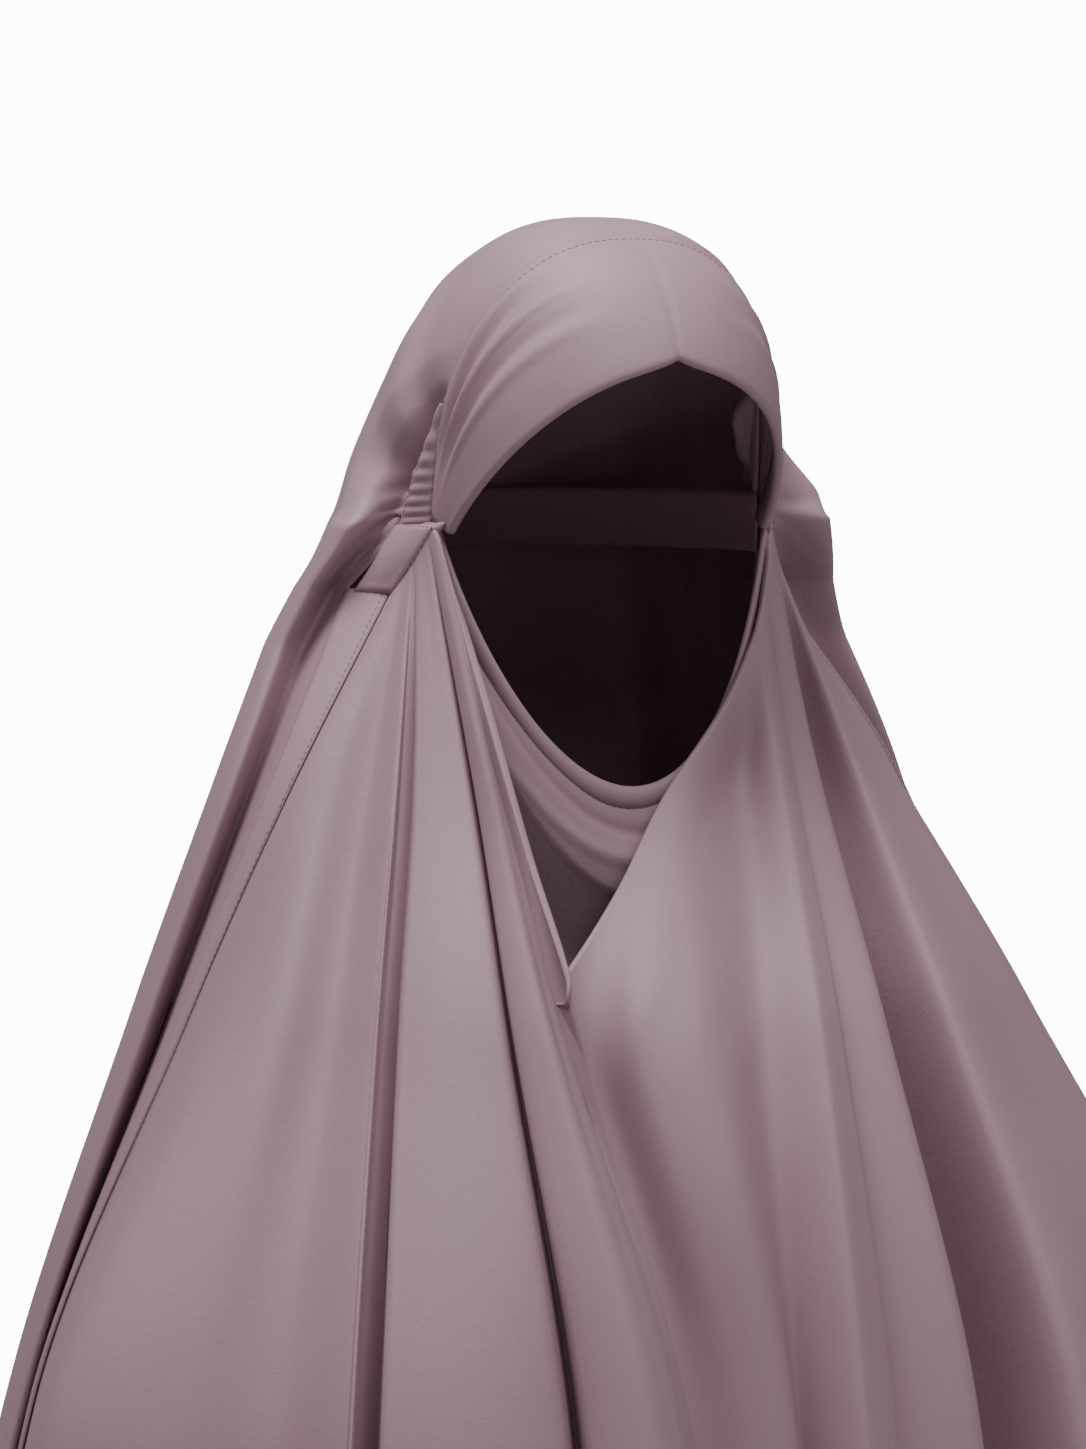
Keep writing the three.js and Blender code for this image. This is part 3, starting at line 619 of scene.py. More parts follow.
class ClothGrid:
    """A grid of points on a piece of cloth, with its outer side known."""

    def __init__(self, points: np.ndarray, facing_back: bool = False) -> None:
        """Keeps the points.

        Args:
            points: rows of columns of points, the rows going down.
            facing_back: true where the outer side is the grid's other side.
        """
        self.points = points
        self.sign = -1.0 if facing_back else 1.0

    def normals(self) -> np.ndarray:
        """Returns the directions out of the cloth's outer side."""
        down = np.gradient(self.points, axis=0)
        across = np.gradient(self.points, axis=1)
        return self.sign * unit(np.cross(down, across))

    def push(self, depth: np.ndarray) -> None:
        """Moves each point outwards by its depth."""
        self.points = self.points + self.normals() * depth[..., None]

    def down(self) -> np.ndarray:
        """Returns each point's distance from the first row, along the cloth."""
        steps = np.linalg.norm(np.diff(self.points, axis=0), axis=-1)
        return np.concatenate([np.zeros((1, steps.shape[1])), np.cumsum(steps, axis=0)])

    def across(self) -> np.ndarray:
        """Returns each point's distance from the middle column, along the cloth."""
        steps = np.linalg.norm(np.diff(self.points, axis=1), axis=-1)
        run = np.concatenate([np.zeros((steps.shape[0], 1)), np.cumsum(steps, axis=1)], axis=1)
        return run - run[:, [run.shape[1] // 2]]

    def turn_in(self, edge: Edge, hem: Hem, full: Optional[np.ndarray] = None) -> None:
        """Folds an edge inwards as a hem.

        Args:
            edge: the edge that is folded.
            hem: the fold's size.
            full: the share of it at each point along the edge, or None for all of it.
        """
        points = self.points
        normals = self.normals()
        if edge is Edge.BOTTOM:
            points = points[::-1]
            normals = normals[::-1]
        away = unit(points[0] - points[1])
        full = np.ones(len(away))[:, None] if full is None else full[:, None]
        added = []
        for angle in np.linspace(0, math.pi, HEM_STEPS + 1)[1:]:
            turned = normals[0] * (math.cos(angle) - 1) + away * math.sin(angle)
            added.append(points[0] + hem.radius * full * turned)
        added.append(points[0] - full * (2 * hem.radius * normals[0] + hem.depth * away))
        points = np.concatenate([np.array(added[::-1]), points])
        self.points = points[::-1] if edge is Edge.BOTTOM else points

    def mesh(self, name: str, thickness: float) -> bpy.types.Object:
        """Makes a mesh object of the grid, with a UV map in metres and a wall.

        Args:
            name: the object's name.
            thickness: the wall, half on each side of the grid.

        Returns:
            The new object.
        """
        rows, columns = self.points.shape[:2]
        index = np.arange(rows * columns).reshape(rows, columns)
        corners = [index[:-1, :-1], index[1:, :-1], index[1:, 1:], index[:-1, 1:]]
        if self.sign < 0:
            corners = corners[::-1]
        faces = np.stack(corners, axis=-1).reshape(-1, 4)
        data = bpy.data.meshes.new(name)
        data.from_pydata(self.points.reshape(-1, 3).tolist(), [], faces.tolist())
        uv = np.stack([self.across(), -self.down()], axis=-1).reshape(-1, 2)
        layer = data.uv_layers.new(name="cloth")
        layer.data.foreach_set("uv", uv[faces.reshape(-1)].astype(np.float32).reshape(-1))
        data.polygons.foreach_set("use_smooth", [True] * len(faces))
        data.update()
        piece = add_object(name, data)
        wall = piece.modifiers.new("wall", "SOLIDIFY")
        wall.thickness = thickness
        wall.offset = 0
        return piece


@dataclass(frozen=True)
class Finish:
    """What every finish shares: its name, its colour, how rough it is and how a shade is varied."""

    name: str
    color: Color
    roughness: float

    def begin(self) -> tuple[bpy.types.Material, bpy.types.NodeTree, bpy.types.Node]:
        """Makes the material, and returns it with its node tree and its shader."""
        made = bpy.data.materials.new(self.name)
        made.use_nodes = True
        return made, made.node_tree, made.node_tree.nodes["Principled BSDF"]

    def shade(
        self, tree: bpy.types.NodeTree, factor: bpy.types.NodeSocket, change: float,
        places: Share = (0.0, 1.0),
    ) -> None:
        """Varies the colour along a factor.

        Args:
            tree: the material's node tree.
            factor: the socket that gives the factor.
            change: how far the colour goes below and above its middle, as a share.
            places: the factors where the two ends lie.
        """
        ramp = add_node(tree, "ShaderNodeValToRGB", {"Fac": factor})
        for element, place, share in zip(ramp.color_ramp.elements, places, (1 - change, 1 + change)):
            element.position = place
            element.color = (*(share * c for c in self.color), 1)
        tree.links.new(ramp.outputs["Color"], tree.nodes["Principled BSDF"].inputs["Base Color"])


@dataclass(frozen=True)
class ClothFinish(Finish):
    """A fine crepe with a soft satin face, woven of thin threads and dyed in one colour."""

    roughness: float = 0.5
    roughness_change: float = 0.05
    sheen: float = 0.12
    sheen_roughness: float = 0.45
    sheen_lift: float = 1.9
    specular: float = 0.4
    thread_pitch: float = 0.0005
    thread_waver: float = 1.2
    weave_relief: float = 0.00005
    crepe_scale: float = 420.0
    crepe_relief: float = 0.00012
    dye_scale: float = 9.0
    dye_change: float = 0.05
    dye_places: Share = (0.3, 0.7)

    def material(self) -> bpy.types.Material:
        """Builds the material's nodes and returns it."""
        made, tree, shader = self.begin()
        shader.inputs["Sheen Weight"].default_value = self.sheen
        shader.inputs["Sheen Roughness"].default_value = self.sheen_roughness
        shader.inputs["Sheen Tint"].default_value = (*(min(1.0, self.sheen_lift * c) for c in self.color), 1)
        shader.inputs["Specular IOR Level"].default_value = self.specular
        place = add_node(tree, "ShaderNodeTexCoord")
        cloth = add_node(tree, "ShaderNodeUVMap", uv_map="cloth")
        dye = add_node(tree, "ShaderNodeTexNoise", {
            "Vector": place.outputs["Object"], "Scale": self.dye_scale, "Detail": 4,
        })
        self.shade(tree, dye.outputs["Fac"], self.dye_change, self.dye_places)
        fuzz = add_node(tree, "ShaderNodeMapRange", {
            "Value": dye.outputs["Fac"],
            "To Min": self.roughness - self.roughness_change,
            "To Max": self.roughness + self.roughness_change,
        })
        tree.links.new(fuzz.outputs["Result"], shader.inputs["Roughness"])
        threads = [
            add_node(tree, "ShaderNodeTexWave", {
                "Vector": cloth.outputs["UV"],
                "Scale": 2 * math.pi / WAVE_RATE / self.thread_pitch,
                "Distortion": self.thread_waver,
            }, bands_direction=direction)
            for direction in ("X", "Y")
        ]
        weave = add_node(tree, "ShaderNodeMath", {
            0: threads[0].outputs["Fac"], 1: threads[1].outputs["Fac"],
        }, operation="MULTIPLY")
        crepe = add_node(tree, "ShaderNodeTexNoise", {
            "Vector": cloth.outputs["UV"], "Scale": self.crepe_scale, "Detail": 3,
        })
        coarse = add_node(tree, "ShaderNodeBump", {
            "Height": crepe.outputs["Fac"], "Distance": self.crepe_relief,
        })
        fine = add_node(tree, "ShaderNodeBump", {
            "Height": weave.outputs["Value"], "Distance": self.weave_relief,
            "Normal": coarse.outputs["Normal"],
        })
        tree.links.new(fine.outputs["Normal"], shader.inputs["Normal"])
        return made


@dataclass(frozen=True)
class ThreadFinish(Finish):
    """Twisted sewing thread, a shade darker than the cloth."""

    name: str = "sewing_thread"
    color: Color = (0.2, 0.14, 0.16)
    roughness: float = 0.5
    color_change: float = 0.2
    twist_scale: float = 900.0
    twist_relief: float = 0.00008

    def material(self) -> bpy.types.Material:
        """Builds the material's nodes and returns it."""
        made, tree, shader = self.begin()
        shader.inputs["Roughness"].default_value = self.roughness
        place = add_node(tree, "ShaderNodeTexCoord")
        twist = add_node(tree, "ShaderNodeTexWave", {
            "Vector": place.outputs["Object"], "Scale": self.twist_scale,
        }, bands_direction="DIAGONAL")
        self.shade(tree, twist.outputs["Fac"], self.color_change)
        relief = add_node(tree, "ShaderNodeBump", {
            "Height": twist.outputs["Fac"], "Distance": self.twist_relief,
        })
        tree.links.new(relief.outputs["Normal"], shader.inputs["Normal"])
        return made


@dataclass(frozen=True)
class FloorFinish(Finish):
    """A plain pale studio floor."""

    name: str = "studio_floor"
    color: Color = (0.82, 0.82, 0.81)
    roughness: float = 0.8
    color_change: float = 0.02
    cloud_scale: float = 2.0

    def material(self) -> bpy.types.Material:
        """Builds the material's nodes and returns it."""
        made, tree, shader = self.begin()
        shader.inputs["Roughness"].default_value = self.roughness
        place = add_node(tree, "ShaderNodeTexCoord")
        cloud = add_node(tree, "ShaderNodeTexNoise", {
            "Vector": place.outputs["Object"], "Scale": self.cloud_scale,
        })
        self.shade(tree, cloud.outputs["Fac"], self.color_change)
        return made


@dataclass
class SubAssembly:
    """What every sub-assembly of the veil shares: the cut, a cloth, and how a piece is made and hung on the
    body.
    """

    cloth: bpy.types.Material
    slot: str = "veil_cloth"
    thickness: float = 0.0010

    def dress(
        self, grid: ClothGrid, name: str, nodes: Sequence[str], flat: Share, held: str,
        rests_on: Sequence[str], area: Optional[float] = None,
    ) -> ClothGrid:
        """Makes a grid a mesh piece in its cloth, hung on the body, and hides the CAD nodes that it replaces.

        Args:
            grid: the finished grid.
            name: the piece's name.
            nodes: the CAD nodes that it replaces.
            flat: the width and length that the cloth was cut to; not used.
            held: how the sheet is held; not used.
            rests_on: what it lies on or hangs from; not used.
            area: the cut's flat area, where it isn't a rectangle; not used.

        Returns:
            The grid.
        """
        thing = grid.mesh(name, self.thickness)
        thing.data.materials.append(self.cloth)
        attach(thing, BODY)
        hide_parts(*nodes)
        extent = sum(face.area for face in thing.data.polygons)
        LOG.info("%s: %d faces, %.4f square metres", name, len(thing.data.polygons), extent)
        return grid


@dataclass
class FrontDrape(SubAssembly):
    """The pleated front, gathered at both temples, with the cowl neckline."""

    rows: int = 150
    steps_per_fold: int = 9
    gather_relief: float = 0.0001
    gather_fall: float = 0.030
    gathers_per_fold: float = 2.5
    right_gather_end: Share = (10.5, 12.5)
    left_gather_start: Share = (23.5, 25.5)
    sway: Sway = Sway(0.0013, 3, 34, 11)
    sway_start: Share = (0.02, 0.22)
    neck_hem: Hem = Hem(0.0013, 0.006)
    low_hem: Hem = Hem(0.0013, 0.018)
    foot_pinch: float = 0.9
    foot_pinch_share: float = 0.93

    def surface(self) -> ClothGrid:
        """Runs the cloth across the fold lines, row by row."""
        shares = CUT.rows(self.rows)
        lines = np.stack([CUT.fold_line(fold, shares) for fold in FRONT_FOLDS], axis=1)
        last = len(FRONT_FOLDS) - 1
        place = np.linspace(0, last, last * self.steps_per_fold + 1)
        rounded = through(lines, place / last)
        segment = np.minimum(place.astype(int), last - 1)
        part = (place - segment)[:, None]
        pressed = lines[:, segment] * (1 - part) + lines[:, segment + 1] * part
        crisp = np.interp(place, np.arange(last + 1), [fold.crisp for fold in FRONT_FOLDS])[:, None]
        return ClothGrid(rounded + (pressed - rounded) * crisp)

    def crease(self, grid: ClothGrid) -> None:
        """Adds the gathers under the temples and the slow unevenness of hanging cloth."""
        rows, columns = grid.points.shape[:2]
        place = np.linspace(0, len(FRONT_FOLDS) - 1, columns)
        gathered = 1 - fade(place, *self.right_gather_end) * (1 - fade(place, *self.left_gather_start))
        down = grid.down()
        gathers = np.sin(2 * math.pi * place * self.gathers_per_fold) * np.exp(-(down / self.gather_fall))
        slow = self.sway.depths(rows, columns) * fade(down, *self.sway_start)
        grid.push(self.gather_relief * gathered * gathers + slow)

    def build(self) -> ClothGrid:
        """Builds and dresses the drape."""
        grid = self.surface()
        self.crease(grid)
        place = np.linspace(0, len(FRONT_FOLDS) - 1, grid.points.shape[1])
        foot = [fold.name for fold in FRONT_FOLDS].index("foot of the neckline") + 0.5
        pinched = 1 - self.foot_pinch_share * ridge(place - foot, self.foot_pinch)
        grid.turn_in(Edge.TOP, self.neck_hem, pinched)
        grid.turn_in(Edge.BOTTOM, self.low_hem)
        return self.dress(
            grid, "front_drape_cloth", ["front_drape"], (0.86, 0.72), "gathered",
            ["temple_patch_right", "temple_patch_left"], 0.56,
        )


@dataclass
class OuterVeil(SubAssembly):
    """The outer cloth from the brow seam over the crown to the hem."""

    head_rows: int = 60
    join_rows: int = 12
    fall_rows: int = 100
    pucker_relief: float = 0.0020
    pucker_reach: float = 0.010
    pucker_slant: float = 12.0
    steps_per_fold: int = 8
    sway: Sway = Sway(0.0015, 5, 26, 23)
    sway_start: Share = (0.06, 0.3)
    hem_fold: float = 0.5
    hem_fold_more: float = 0.8
    seam_hem: Hem = Hem(0.0008, 0.005)
    seam_hem_start: Share = (0.004, 0.02)
    low_hem: Hem = Hem(0.0013, 0.018)

    def sections(self) -> dict[str, np.ndarray]:
        """Returns the sections' sizes by name, each with its distance down the centre back."""
        table: dict[str, list[float]] = {}
        down = 0.0
        rows = []
        for i, head in enumerate(HEAD_SECTIONS):
            if i > 0:
                down += CUT.crown_rise * head.reach * math.radians(head.tilt - HEAD_SECTIONS[i - 1].tilt)
            end = CUT.casing_edge(head.edge)
            rows.append({
                "down": down, "tilt": head.tilt, "spread": head.spread, "left": head.left,
                "reach": head.reach, "lean": head.lean, "start": head.start,
                "gap": head.gap, "fold": head.fold,
                "end_x": -end[0], "end_y": end[1], "end_z": end[2],
            })
        for level in LEVELS.values():
            share = (level.drop - CUT.temple_drop) / (CUT.veil_length - CUT.temple_drop)
            rows.append({
                "down": down + level.drop - CUT.temple_drop, "tilt": 180.0,
                "spread": level.veil / CUT.head_half_width, "left": level.left,
                "reach": (level.back + CUT.temple_forward) / CUT.crown_rise, "lean": 1.0, "start": 0.0,
                "gap": 0.0, "fold": self.hem_fold + self.hem_fold_more * share,
                "end_x": level.side, "end_y": 0.0, "end_z": -level.drop,
            })
        for row in rows:
            for key, value in row.items():
                table.setdefault(key, []).append(value)
        return {key: np.array(values, dtype=float) for key, values in table.items()}

    @staticmethod
    def section_at(table: dict[str, np.ndarray], down: float) -> dict[str, float]:
        """Returns the section at a way down. Its tilt runs evenly, so the head turns into the fall."""
        section = {key: float(smooth(table["down"], values, down)) for key, values in table.items()}
        section["tilt"] = float(np.interp(down, table["down"], table["tilt"]))
        return section

    @staticmethod
    def half(
        section: dict[str, float], end: np.ndarray, left: bool, low: float, folds: dict[str, np.ndarray]
    ) -> np.ndarray:
        """Returns one side of a row, from the seam to the centre back, as on the wearer's right.

        Args:
            section: the section's sizes.
            end: the point where the row ends at the casing or the welt.
            left: true on the wearer's left.
            low: how far the row hangs below the temple.
            folds: the angles from the seam edge to the centre back, with the depths there.

        Returns:
            The row's points.
        """
        rear = section["reach"] * CUT.crown_rise - CUT.temple_forward
        settled = min(1.0, low / CUT.veil_settle)
        middle = -CUT.temple_forward + (end[1] + CUT.temple_forward) * settled
        spread = section["spread"] + (section["left"] if left else 0.0)
        sized = (section["tilt"], spread, (rear - middle) / CUT.crown_rise, section["lean"], middle)
        turns = folds["turn"]
        angle = section["start"] + (90 - section["start"]) * turns / 90
        hang = vector(0, 0, -low)
        points = CUT.head_point(angle, *sized) + hang
        free = CUT.head_point(np.array([section["start"]]), *sized)[0] + hang
        pull = np.maximum(0, 1 - turns / CUT.veil_pull) ** 2
        points = points + pull[:, None] * (end - free)
        turned = np.radians(angle)
        out = np.stack([-np.cos(turned), np.sin(turned), 0 * turned], axis=-1)
        depths = folds["crown"] * section["gap"] + folds["hang"] * section["fold"]
        points = points + out * (depths * CUT.fold_depth)[:, None]
        points[:, 1] += folds["tuck"] * section["fold"] * CUT.fold_depth
        return points

    def surface(self) -> ClothGrid:
        """Runs the cloth from section to section."""
        table = self.sections()
        temple_down = table["down"][len(HEAD_SECTIONS) - 1]
        knots = np.arange(len(VEIL_FOLDS))
        place = np.linspace(0, len(VEIL_FOLDS) - 1, self.steps_per_fold * (len(VEIL_FOLDS) - 1) + 1)
        crisp = np.interp(place, knots, [fold.crisp for fold in VEIL_FOLDS])
        folds = {}
        for key in ("turn", "crown", "hang", "tuck"):
            values = [getattr(fold, key) for fold in VEIL_FOLDS]
            rounded = smooth(knots, values, place)
            folds[key] = rounded + (np.interp(place, knots, values) - rounded) * crisp
        shares = CUT.rows(self.fall_rows)
        _, right_back, right_in = CUT.welt_edges(Side.RIGHT, shares)
        _, left_back, left_in = CUT.welt_edges(Side.LEFT, shares)
        away = CUT.seam_gap + CUT.wall
        rows = []
        for down in np.linspace(CUT.seam_gap, temple_down, self.head_rows, endpoint=False):
            section = self.section_at(table, down)
            end = vector(-section["end_x"], section["end_y"], section["end_z"])
            rows.append((section, end, end, 0.0))
        gathered = CUT.casing_edge(HEAD_SECTIONS[-1].edge)
        joins = [(0, i / self.join_rows) for i in range(self.join_rows)]
        for k, joined in joins + [(k, 1.0) for k in range(self.fall_rows)]:
            low = joined * (-right_back[k, 2] - CUT.temple_drop)
            section = self.section_at(table, temple_down + low)
            right_end = gathered + (right_back[k] + right_in * away - gathered) * joined
            left_end = gathered + ((left_back[k] + left_in * away) * vector(-1, 1, 1) - gathered) * joined
            rows.append((section, right_end, left_end, low))
        lines = []
        for section, right_end, left_end, low in rows:
            right = self.half(section, right_end, False, low, folds)
            left = self.half(section, left_end, True, low, folds) * vector(-1, 1, 1)
            lines.append(np.concatenate([left, right[::-1][1:]]))
        return ClothGrid(np.array(lines))

    def crease(self, grid: ClothGrid) -> None:
        """Adds the slow unevenness of hanging cloth and the puckers that run out from the casings."""
        rows, columns = grid.points.shape[:2]
        slow = self.sway.depths(rows, columns) * fade(grid.down(), *self.sway_start)
        across = grid.across()
        near = np.minimum(across - across[:, :1], across[:, -1:] - across)
        along = (np.arange(rows) / self.head_rows)[:, None] - self.pucker_slant * near
        cycles = 1.6 * along + 3.4 * along * np.abs(along)
        shown = fade(along, 0.05, 0.25) * (1 - fade(along, 1.0, 1.12)) * (1.35 - 0.7 * along)
        dying = np.exp(-near / self.pucker_reach) * fade(near, 0, 0.003)
        puckers = np.sin(2 * math.pi * cycles) * shown * dying
        grid.push(slow + self.pucker_relief * puckers)

    def build(self) -> ClothGrid:
        """Builds and dresses the veil."""
        grid = self.surface()
        self.crease(grid)
        across = grid.across()[0]
        ends = np.minimum(across - across[0], across[-1] - across)
        grid.turn_in(Edge.TOP, self.seam_hem, 0.1 + 0.9 * fade(ends, *self.seam_hem_start))
        grid.turn_in(Edge.BOTTOM, self.low_hem)
        return self.dress(
            grid, "veil_cloth_sheet", ["veil"], (0.8, 1.0), "draped", ["brow_band", "side_welt_right"], 0.53,
        )


@dataclass
class BrowBand(SubAssembly):
    """The crescent over the forehead, with its rolled lower edge and its creases at the temples."""

    rows: int = 44
    columns: int = 190
    seam_hem: Hem = Hem(0.0008, 0.004)
    roll: Hem = Hem(0.0015, 0.009)
    sway: Sway = Sway(0.0006, 3, 9, 31)
    seam_relief: float = 0.0005
    crease_relief: float = 0.0022
    left_crease_share: float = 0.6
    creases: tuple[Crease, ...] = (
        Crease(0.07, 0.08, 0.025, 1.0),
        Crease(0.15, 0.13, 0.05, -0.9),
        Crease(0.24, 0.2, 0.025, 0.9),
        Crease(0.36, 0.24, 0.06, -0.8),
        Crease(0.46, 0.26, 0.05, 0.6),
    )

    def surface(self) -> ClothGrid:
        """Runs the cloth from the arch to the brow edge."""
        share = np.linspace(0, 1, self.columns)
        bearing = -CUT.brow_half_angle + 2 * CUT.brow_half_angle * share
        away = np.abs(bearing)
        full = CUT.temple_drop + CUT.wall - CUT.brow_drop - CUT.brow_peak
        fall = full * (away / CUT.brow_half_angle) ** 1.8
        drop = CUT.brow_drop + CUT.brow_peak * (1 - np.exp(-away / CUT.brow_peak_bearing)) + fall
        lower = CUT.onto_head(np.stack([
            CUT.head_half_width * np.sin(np.radians(bearing)),
            -CUT.head_half_depth * np.cos(np.radians(bearing)),
            -drop,
        ], axis=-1))
        upper = CUT.arch_point(0.5 + 179 * share)
        down = np.linspace(0, 1, self.rows)[:, None, None]
        straight = upper + (lower - upper) * down
        pressed = CUT.onto_head(straight)
        settle = fade(down, 0.0, 0.16)
        return ClothGrid(straight + (pressed - straight) * settle)

    def crease(self, grid: ClothGrid) -> None:
        """Adds the ridges that run up from the temples and the faint seam at the centre."""
        rows, columns = grid.points.shape[:2]
        down = np.linspace(0, 1, rows)[:, None]
        angle = np.linspace(0.5, 179.5, columns)[None, :]
        depth = np.zeros((rows, columns))
        for near, strength in ((angle, 1.0), (180 - angle, self.left_crease_share)):
            shown = strength * fade(near, 78, 30) * fade(near, 4, 20)
            for crease in self.creases:
                line = crease.centre + crease.drift * near / 90
                depth += shown * crease.height * self.crease_relief * ridge(down - line, crease.width)
        depth += self.sway.depths(rows, columns) * fade(down, 0.1, 0.35) * fade(1 - down, 0.0, 0.2)
        depth -= self.seam_relief * ridge(angle - 90, 0.8) * fade(down, 0.05, 0.2)
        grid.push(depth)

    def build(self) -> ClothGrid:
        """Builds and dresses the band."""
        grid = self.surface()
        self.crease(grid)
        grid.turn_in(Edge.TOP, self.seam_hem)
        grid.turn_in(Edge.BOTTOM, self.roll)
        return self.dress(
            grid, "brow_band_cloth", ["brow_band"], (0.27, 0.1), "stretched", ["nape_tie"], 0.0216,
        )


@dataclass
class ChinPanel(SubAssembly):
    """The cloth under the jaw, which folds over below the chin, and the binding of the face edge."""

    columns: int = 130
    fold_rows: int = 26
    hem_rows: int = 34
    hem: Hem = Hem(0.001, 0.01)
    sway: Sway = Sway(0.0008, 6, 9, 41)
    crease_relief: float = 0.0016
    creases: tuple[Crease, ...] = (Crease(0.011, 0.006, 0.0035, -1.0), Crease(0.022, -0.012, 0.004, 0.9))
    binding_rows: int = 8
    binding_crown: float = 0.0011
    binding_lift: float = 0.0002
    binding_thickness: float = 0.0009
    face_turn: Hem = Hem(0.0010, 0.004)
    panel_turn: Hem = Hem(0.0008, 0.002)

    def angles(self) -> np.ndarray:
        """Returns the angles round the jaw."""
        return np.linspace(-CUT.jaw_half_angle, CUT.jaw_half_angle, self.columns)

    def panel(self) -> ClothGrid:
        """Runs the panel from the binding over its fold to its hem."""
        angle = self.angles()
        low = np.cos(np.radians(angle))
        run = CUT.jaw_run(angle)
        start = CUT.jaw_point(angle) + run * (CUT.binding_width + self.binding_lift)
        bulge = CUT.chin_fold_depth * (0.25 + 0.75 * low)
        drop = CUT.chin_fold * np.sqrt(low)
        lines = []
        for row in range(self.fold_rows + self.hem_rows + 1):
            above = min(1.0, row / self.fold_rows)
            below = max(0, row - self.fold_rows) / self.hem_rows
            forward = -bulge * math.sin(math.pi / 2 * above)
            point = start + np.stack([0 * low, forward, -drop * above], axis=-1)
            turned = min(1.0, 3 * below)
            fall = -(CUT.panel_hem_drop + point[:, 2]) * below ** 1.2
            lines.append(point + np.stack([0 * low, 0.75 * bulge * turned, fall], axis=-1))
        return ClothGrid(np.array(lines))

    def binding(self) -> ClothGrid:
        """Runs the binding along the jaw, slightly crowned."""
        angle = self.angles()
        start = CUT.jaw_point(angle)
        run = CUT.jaw_run(angle) * CUT.binding_width
        shares = np.linspace(0, 1, self.binding_rows)[:, None, None]
        grid = ClothGrid(start + run * shares)
        crown = self.binding_crown * np.sin(math.pi * np.linspace(0, 1, self.binding_rows)) ** 0.7
        grid.push(np.repeat(crown[:, None], self.columns, axis=1))
        return grid

    def build(self, binding_cloth: bpy.types.Material) -> tuple[ClothGrid, ClothGrid]:
        """Builds and dresses the panel and the binding."""
        panel = self.panel()
        rows, columns = panel.points.shape[:2]
        down = panel.down()
        side = np.linspace(-1, 1, columns)[None, :]
        depth = self.sway.depths(rows, columns)
        for crease in self.creases:
            line = ridge(down - crease.centre - crease.drift * side, crease.width)
            depth += self.crease_relief * crease.height * line * ridge(side + 0.05, 0.5)
        panel.push(depth)
        panel.turn_in(Edge.BOTTOM, self.hem)
        dressed = self.dress(
            panel, "chin_panel_cloth", ["chin_panel"], (0.3, 0.21), "hung", ["face_binding"], 0.039,
        )
        edge = self.binding()
        edge.turn_in(Edge.TOP, self.face_turn)
        edge.turn_in(Edge.BOTTOM, self.panel_turn)
        binder = SubAssembly(binding_cloth, "veil_cloth", self.binding_thickness)
        bound = binder.dress(
            edge, "face_binding_tape", ["face_binding"], (0.34, 0.015), "stretched", ["chin_panel"],
        )
        return dressed, bound


@dataclass
class TempleTrim(SubAssembly):
    """The puckered gather casings and the patches at both temples."""

    casing_rows: int = 90
    casing_columns: int = 12
    pucker_relief: float = 0.0004
    patch_steps: int = 34
    patch_down: Share = (-0.06, 1.26)
    patch_over: Share = (-0.1, 1.16)
    patch_bulge: float = 0.0012
    rim_turn: float = 0.0034
    rim_width: float = 0.16
    sway: Sway = Sway(0.0003, 4, 4, 53)

    def casing(self, side: Side) -> ClothGrid:
        """Runs a casing from the arch's foot down to the patch."""
        share = np.linspace(0, 1, self.casing_rows)
        top_drop = -float(CUT.arch_point(CUT.arch_start)[2])
        front = CUT.arch_at_drop(top_drop + (CUT.temple_drop - CUT.wall - top_drop) * share)
        back = CUT.casing_edge(share)
        along = np.linspace(0, 1, self.casing_columns)[None, :, None]
        crown = 1.2 * CUT.wall * np.sin(math.pi * along)
        points = back[:, None] + (front - back)[:, None] * along - crown * vector(1, 0, 0)
        grid = ClothGrid(points)
        swing = np.sin(2 * math.pi * (2.4 * share + 5.1 * share * share))[:, None]
        grid.push(self.pucker_relief * swing * np.sin(math.pi * along[..., 0]) ** 0.5)
        return grid if side is Side.RIGHT else self.mirror(grid)

    def patch(self, side: Side) -> ClothGrid:
        """Lays a patch between tie, rear, heel and foot."""
        lift = vector(-0.8 * CUT.wall, -0.3 * CUT.wall, 0.8 * CUT.wall)
        tie, rear, foot, heel = (CUT.corner(c) + lift for c in (CUT.tie, CUT.rear, CUT.foot, CUT.heel))
        down = np.linspace(*self.patch_down, self.patch_steps)[:, None, None]
        over = np.linspace(*self.patch_over, self.patch_steps)[None, :, None]
        top = rear + (tie - rear) * over
        low = heel + (foot - heel) * over
        grid = ClothGrid(top + (low - top) * down)
        bulge = np.sin(math.pi * np.clip(down, 0, 1)) * np.sin(math.pi * np.clip(over, 0, 1))
        rim_down = np.minimum(down - self.patch_down[0], self.patch_down[1] - down)
        rim_over = np.minimum(over - self.patch_over[0], self.patch_over[1] - over)
        rim = np.minimum(rim_down, rim_over)[..., 0]
        grid.push(self.patch_bulge * bulge[..., 0] - self.rim_turn * (1 - fade(rim, 0, self.rim_width)))
        grid.push(self.sway.depths(self.patch_steps, self.patch_steps))
        return grid if side is Side.RIGHT else self.mirror(grid)

    @staticmethod
    def mirror(grid: ClothGrid) -> ClothGrid:
        """Returns the grid for the wearer's left."""
        return ClothGrid(grid.points[:, ::-1] * vector(-1, 1, 1))

    def build(self, side: Side) -> tuple[ClothGrid, ClothGrid]:
        """Builds and dresses one temple's casing and patch."""
        word = side.name.lower()
        casing = self.dress(
            self.casing(side), f"gather_casing_{word}_cloth", [f"gather_casing_{word}"], (0.05, 0.014),
            "gathered", ["brow_band"], 0.0007,
        )
        patch = self.dress(
            self.patch(side), f"temple_patch_{word}_cloth", [f"temple_patch_{word}"], (0.03, 0.028), "laid",
            [f"gather_casing_{word}"],
        )
        return casing, patch


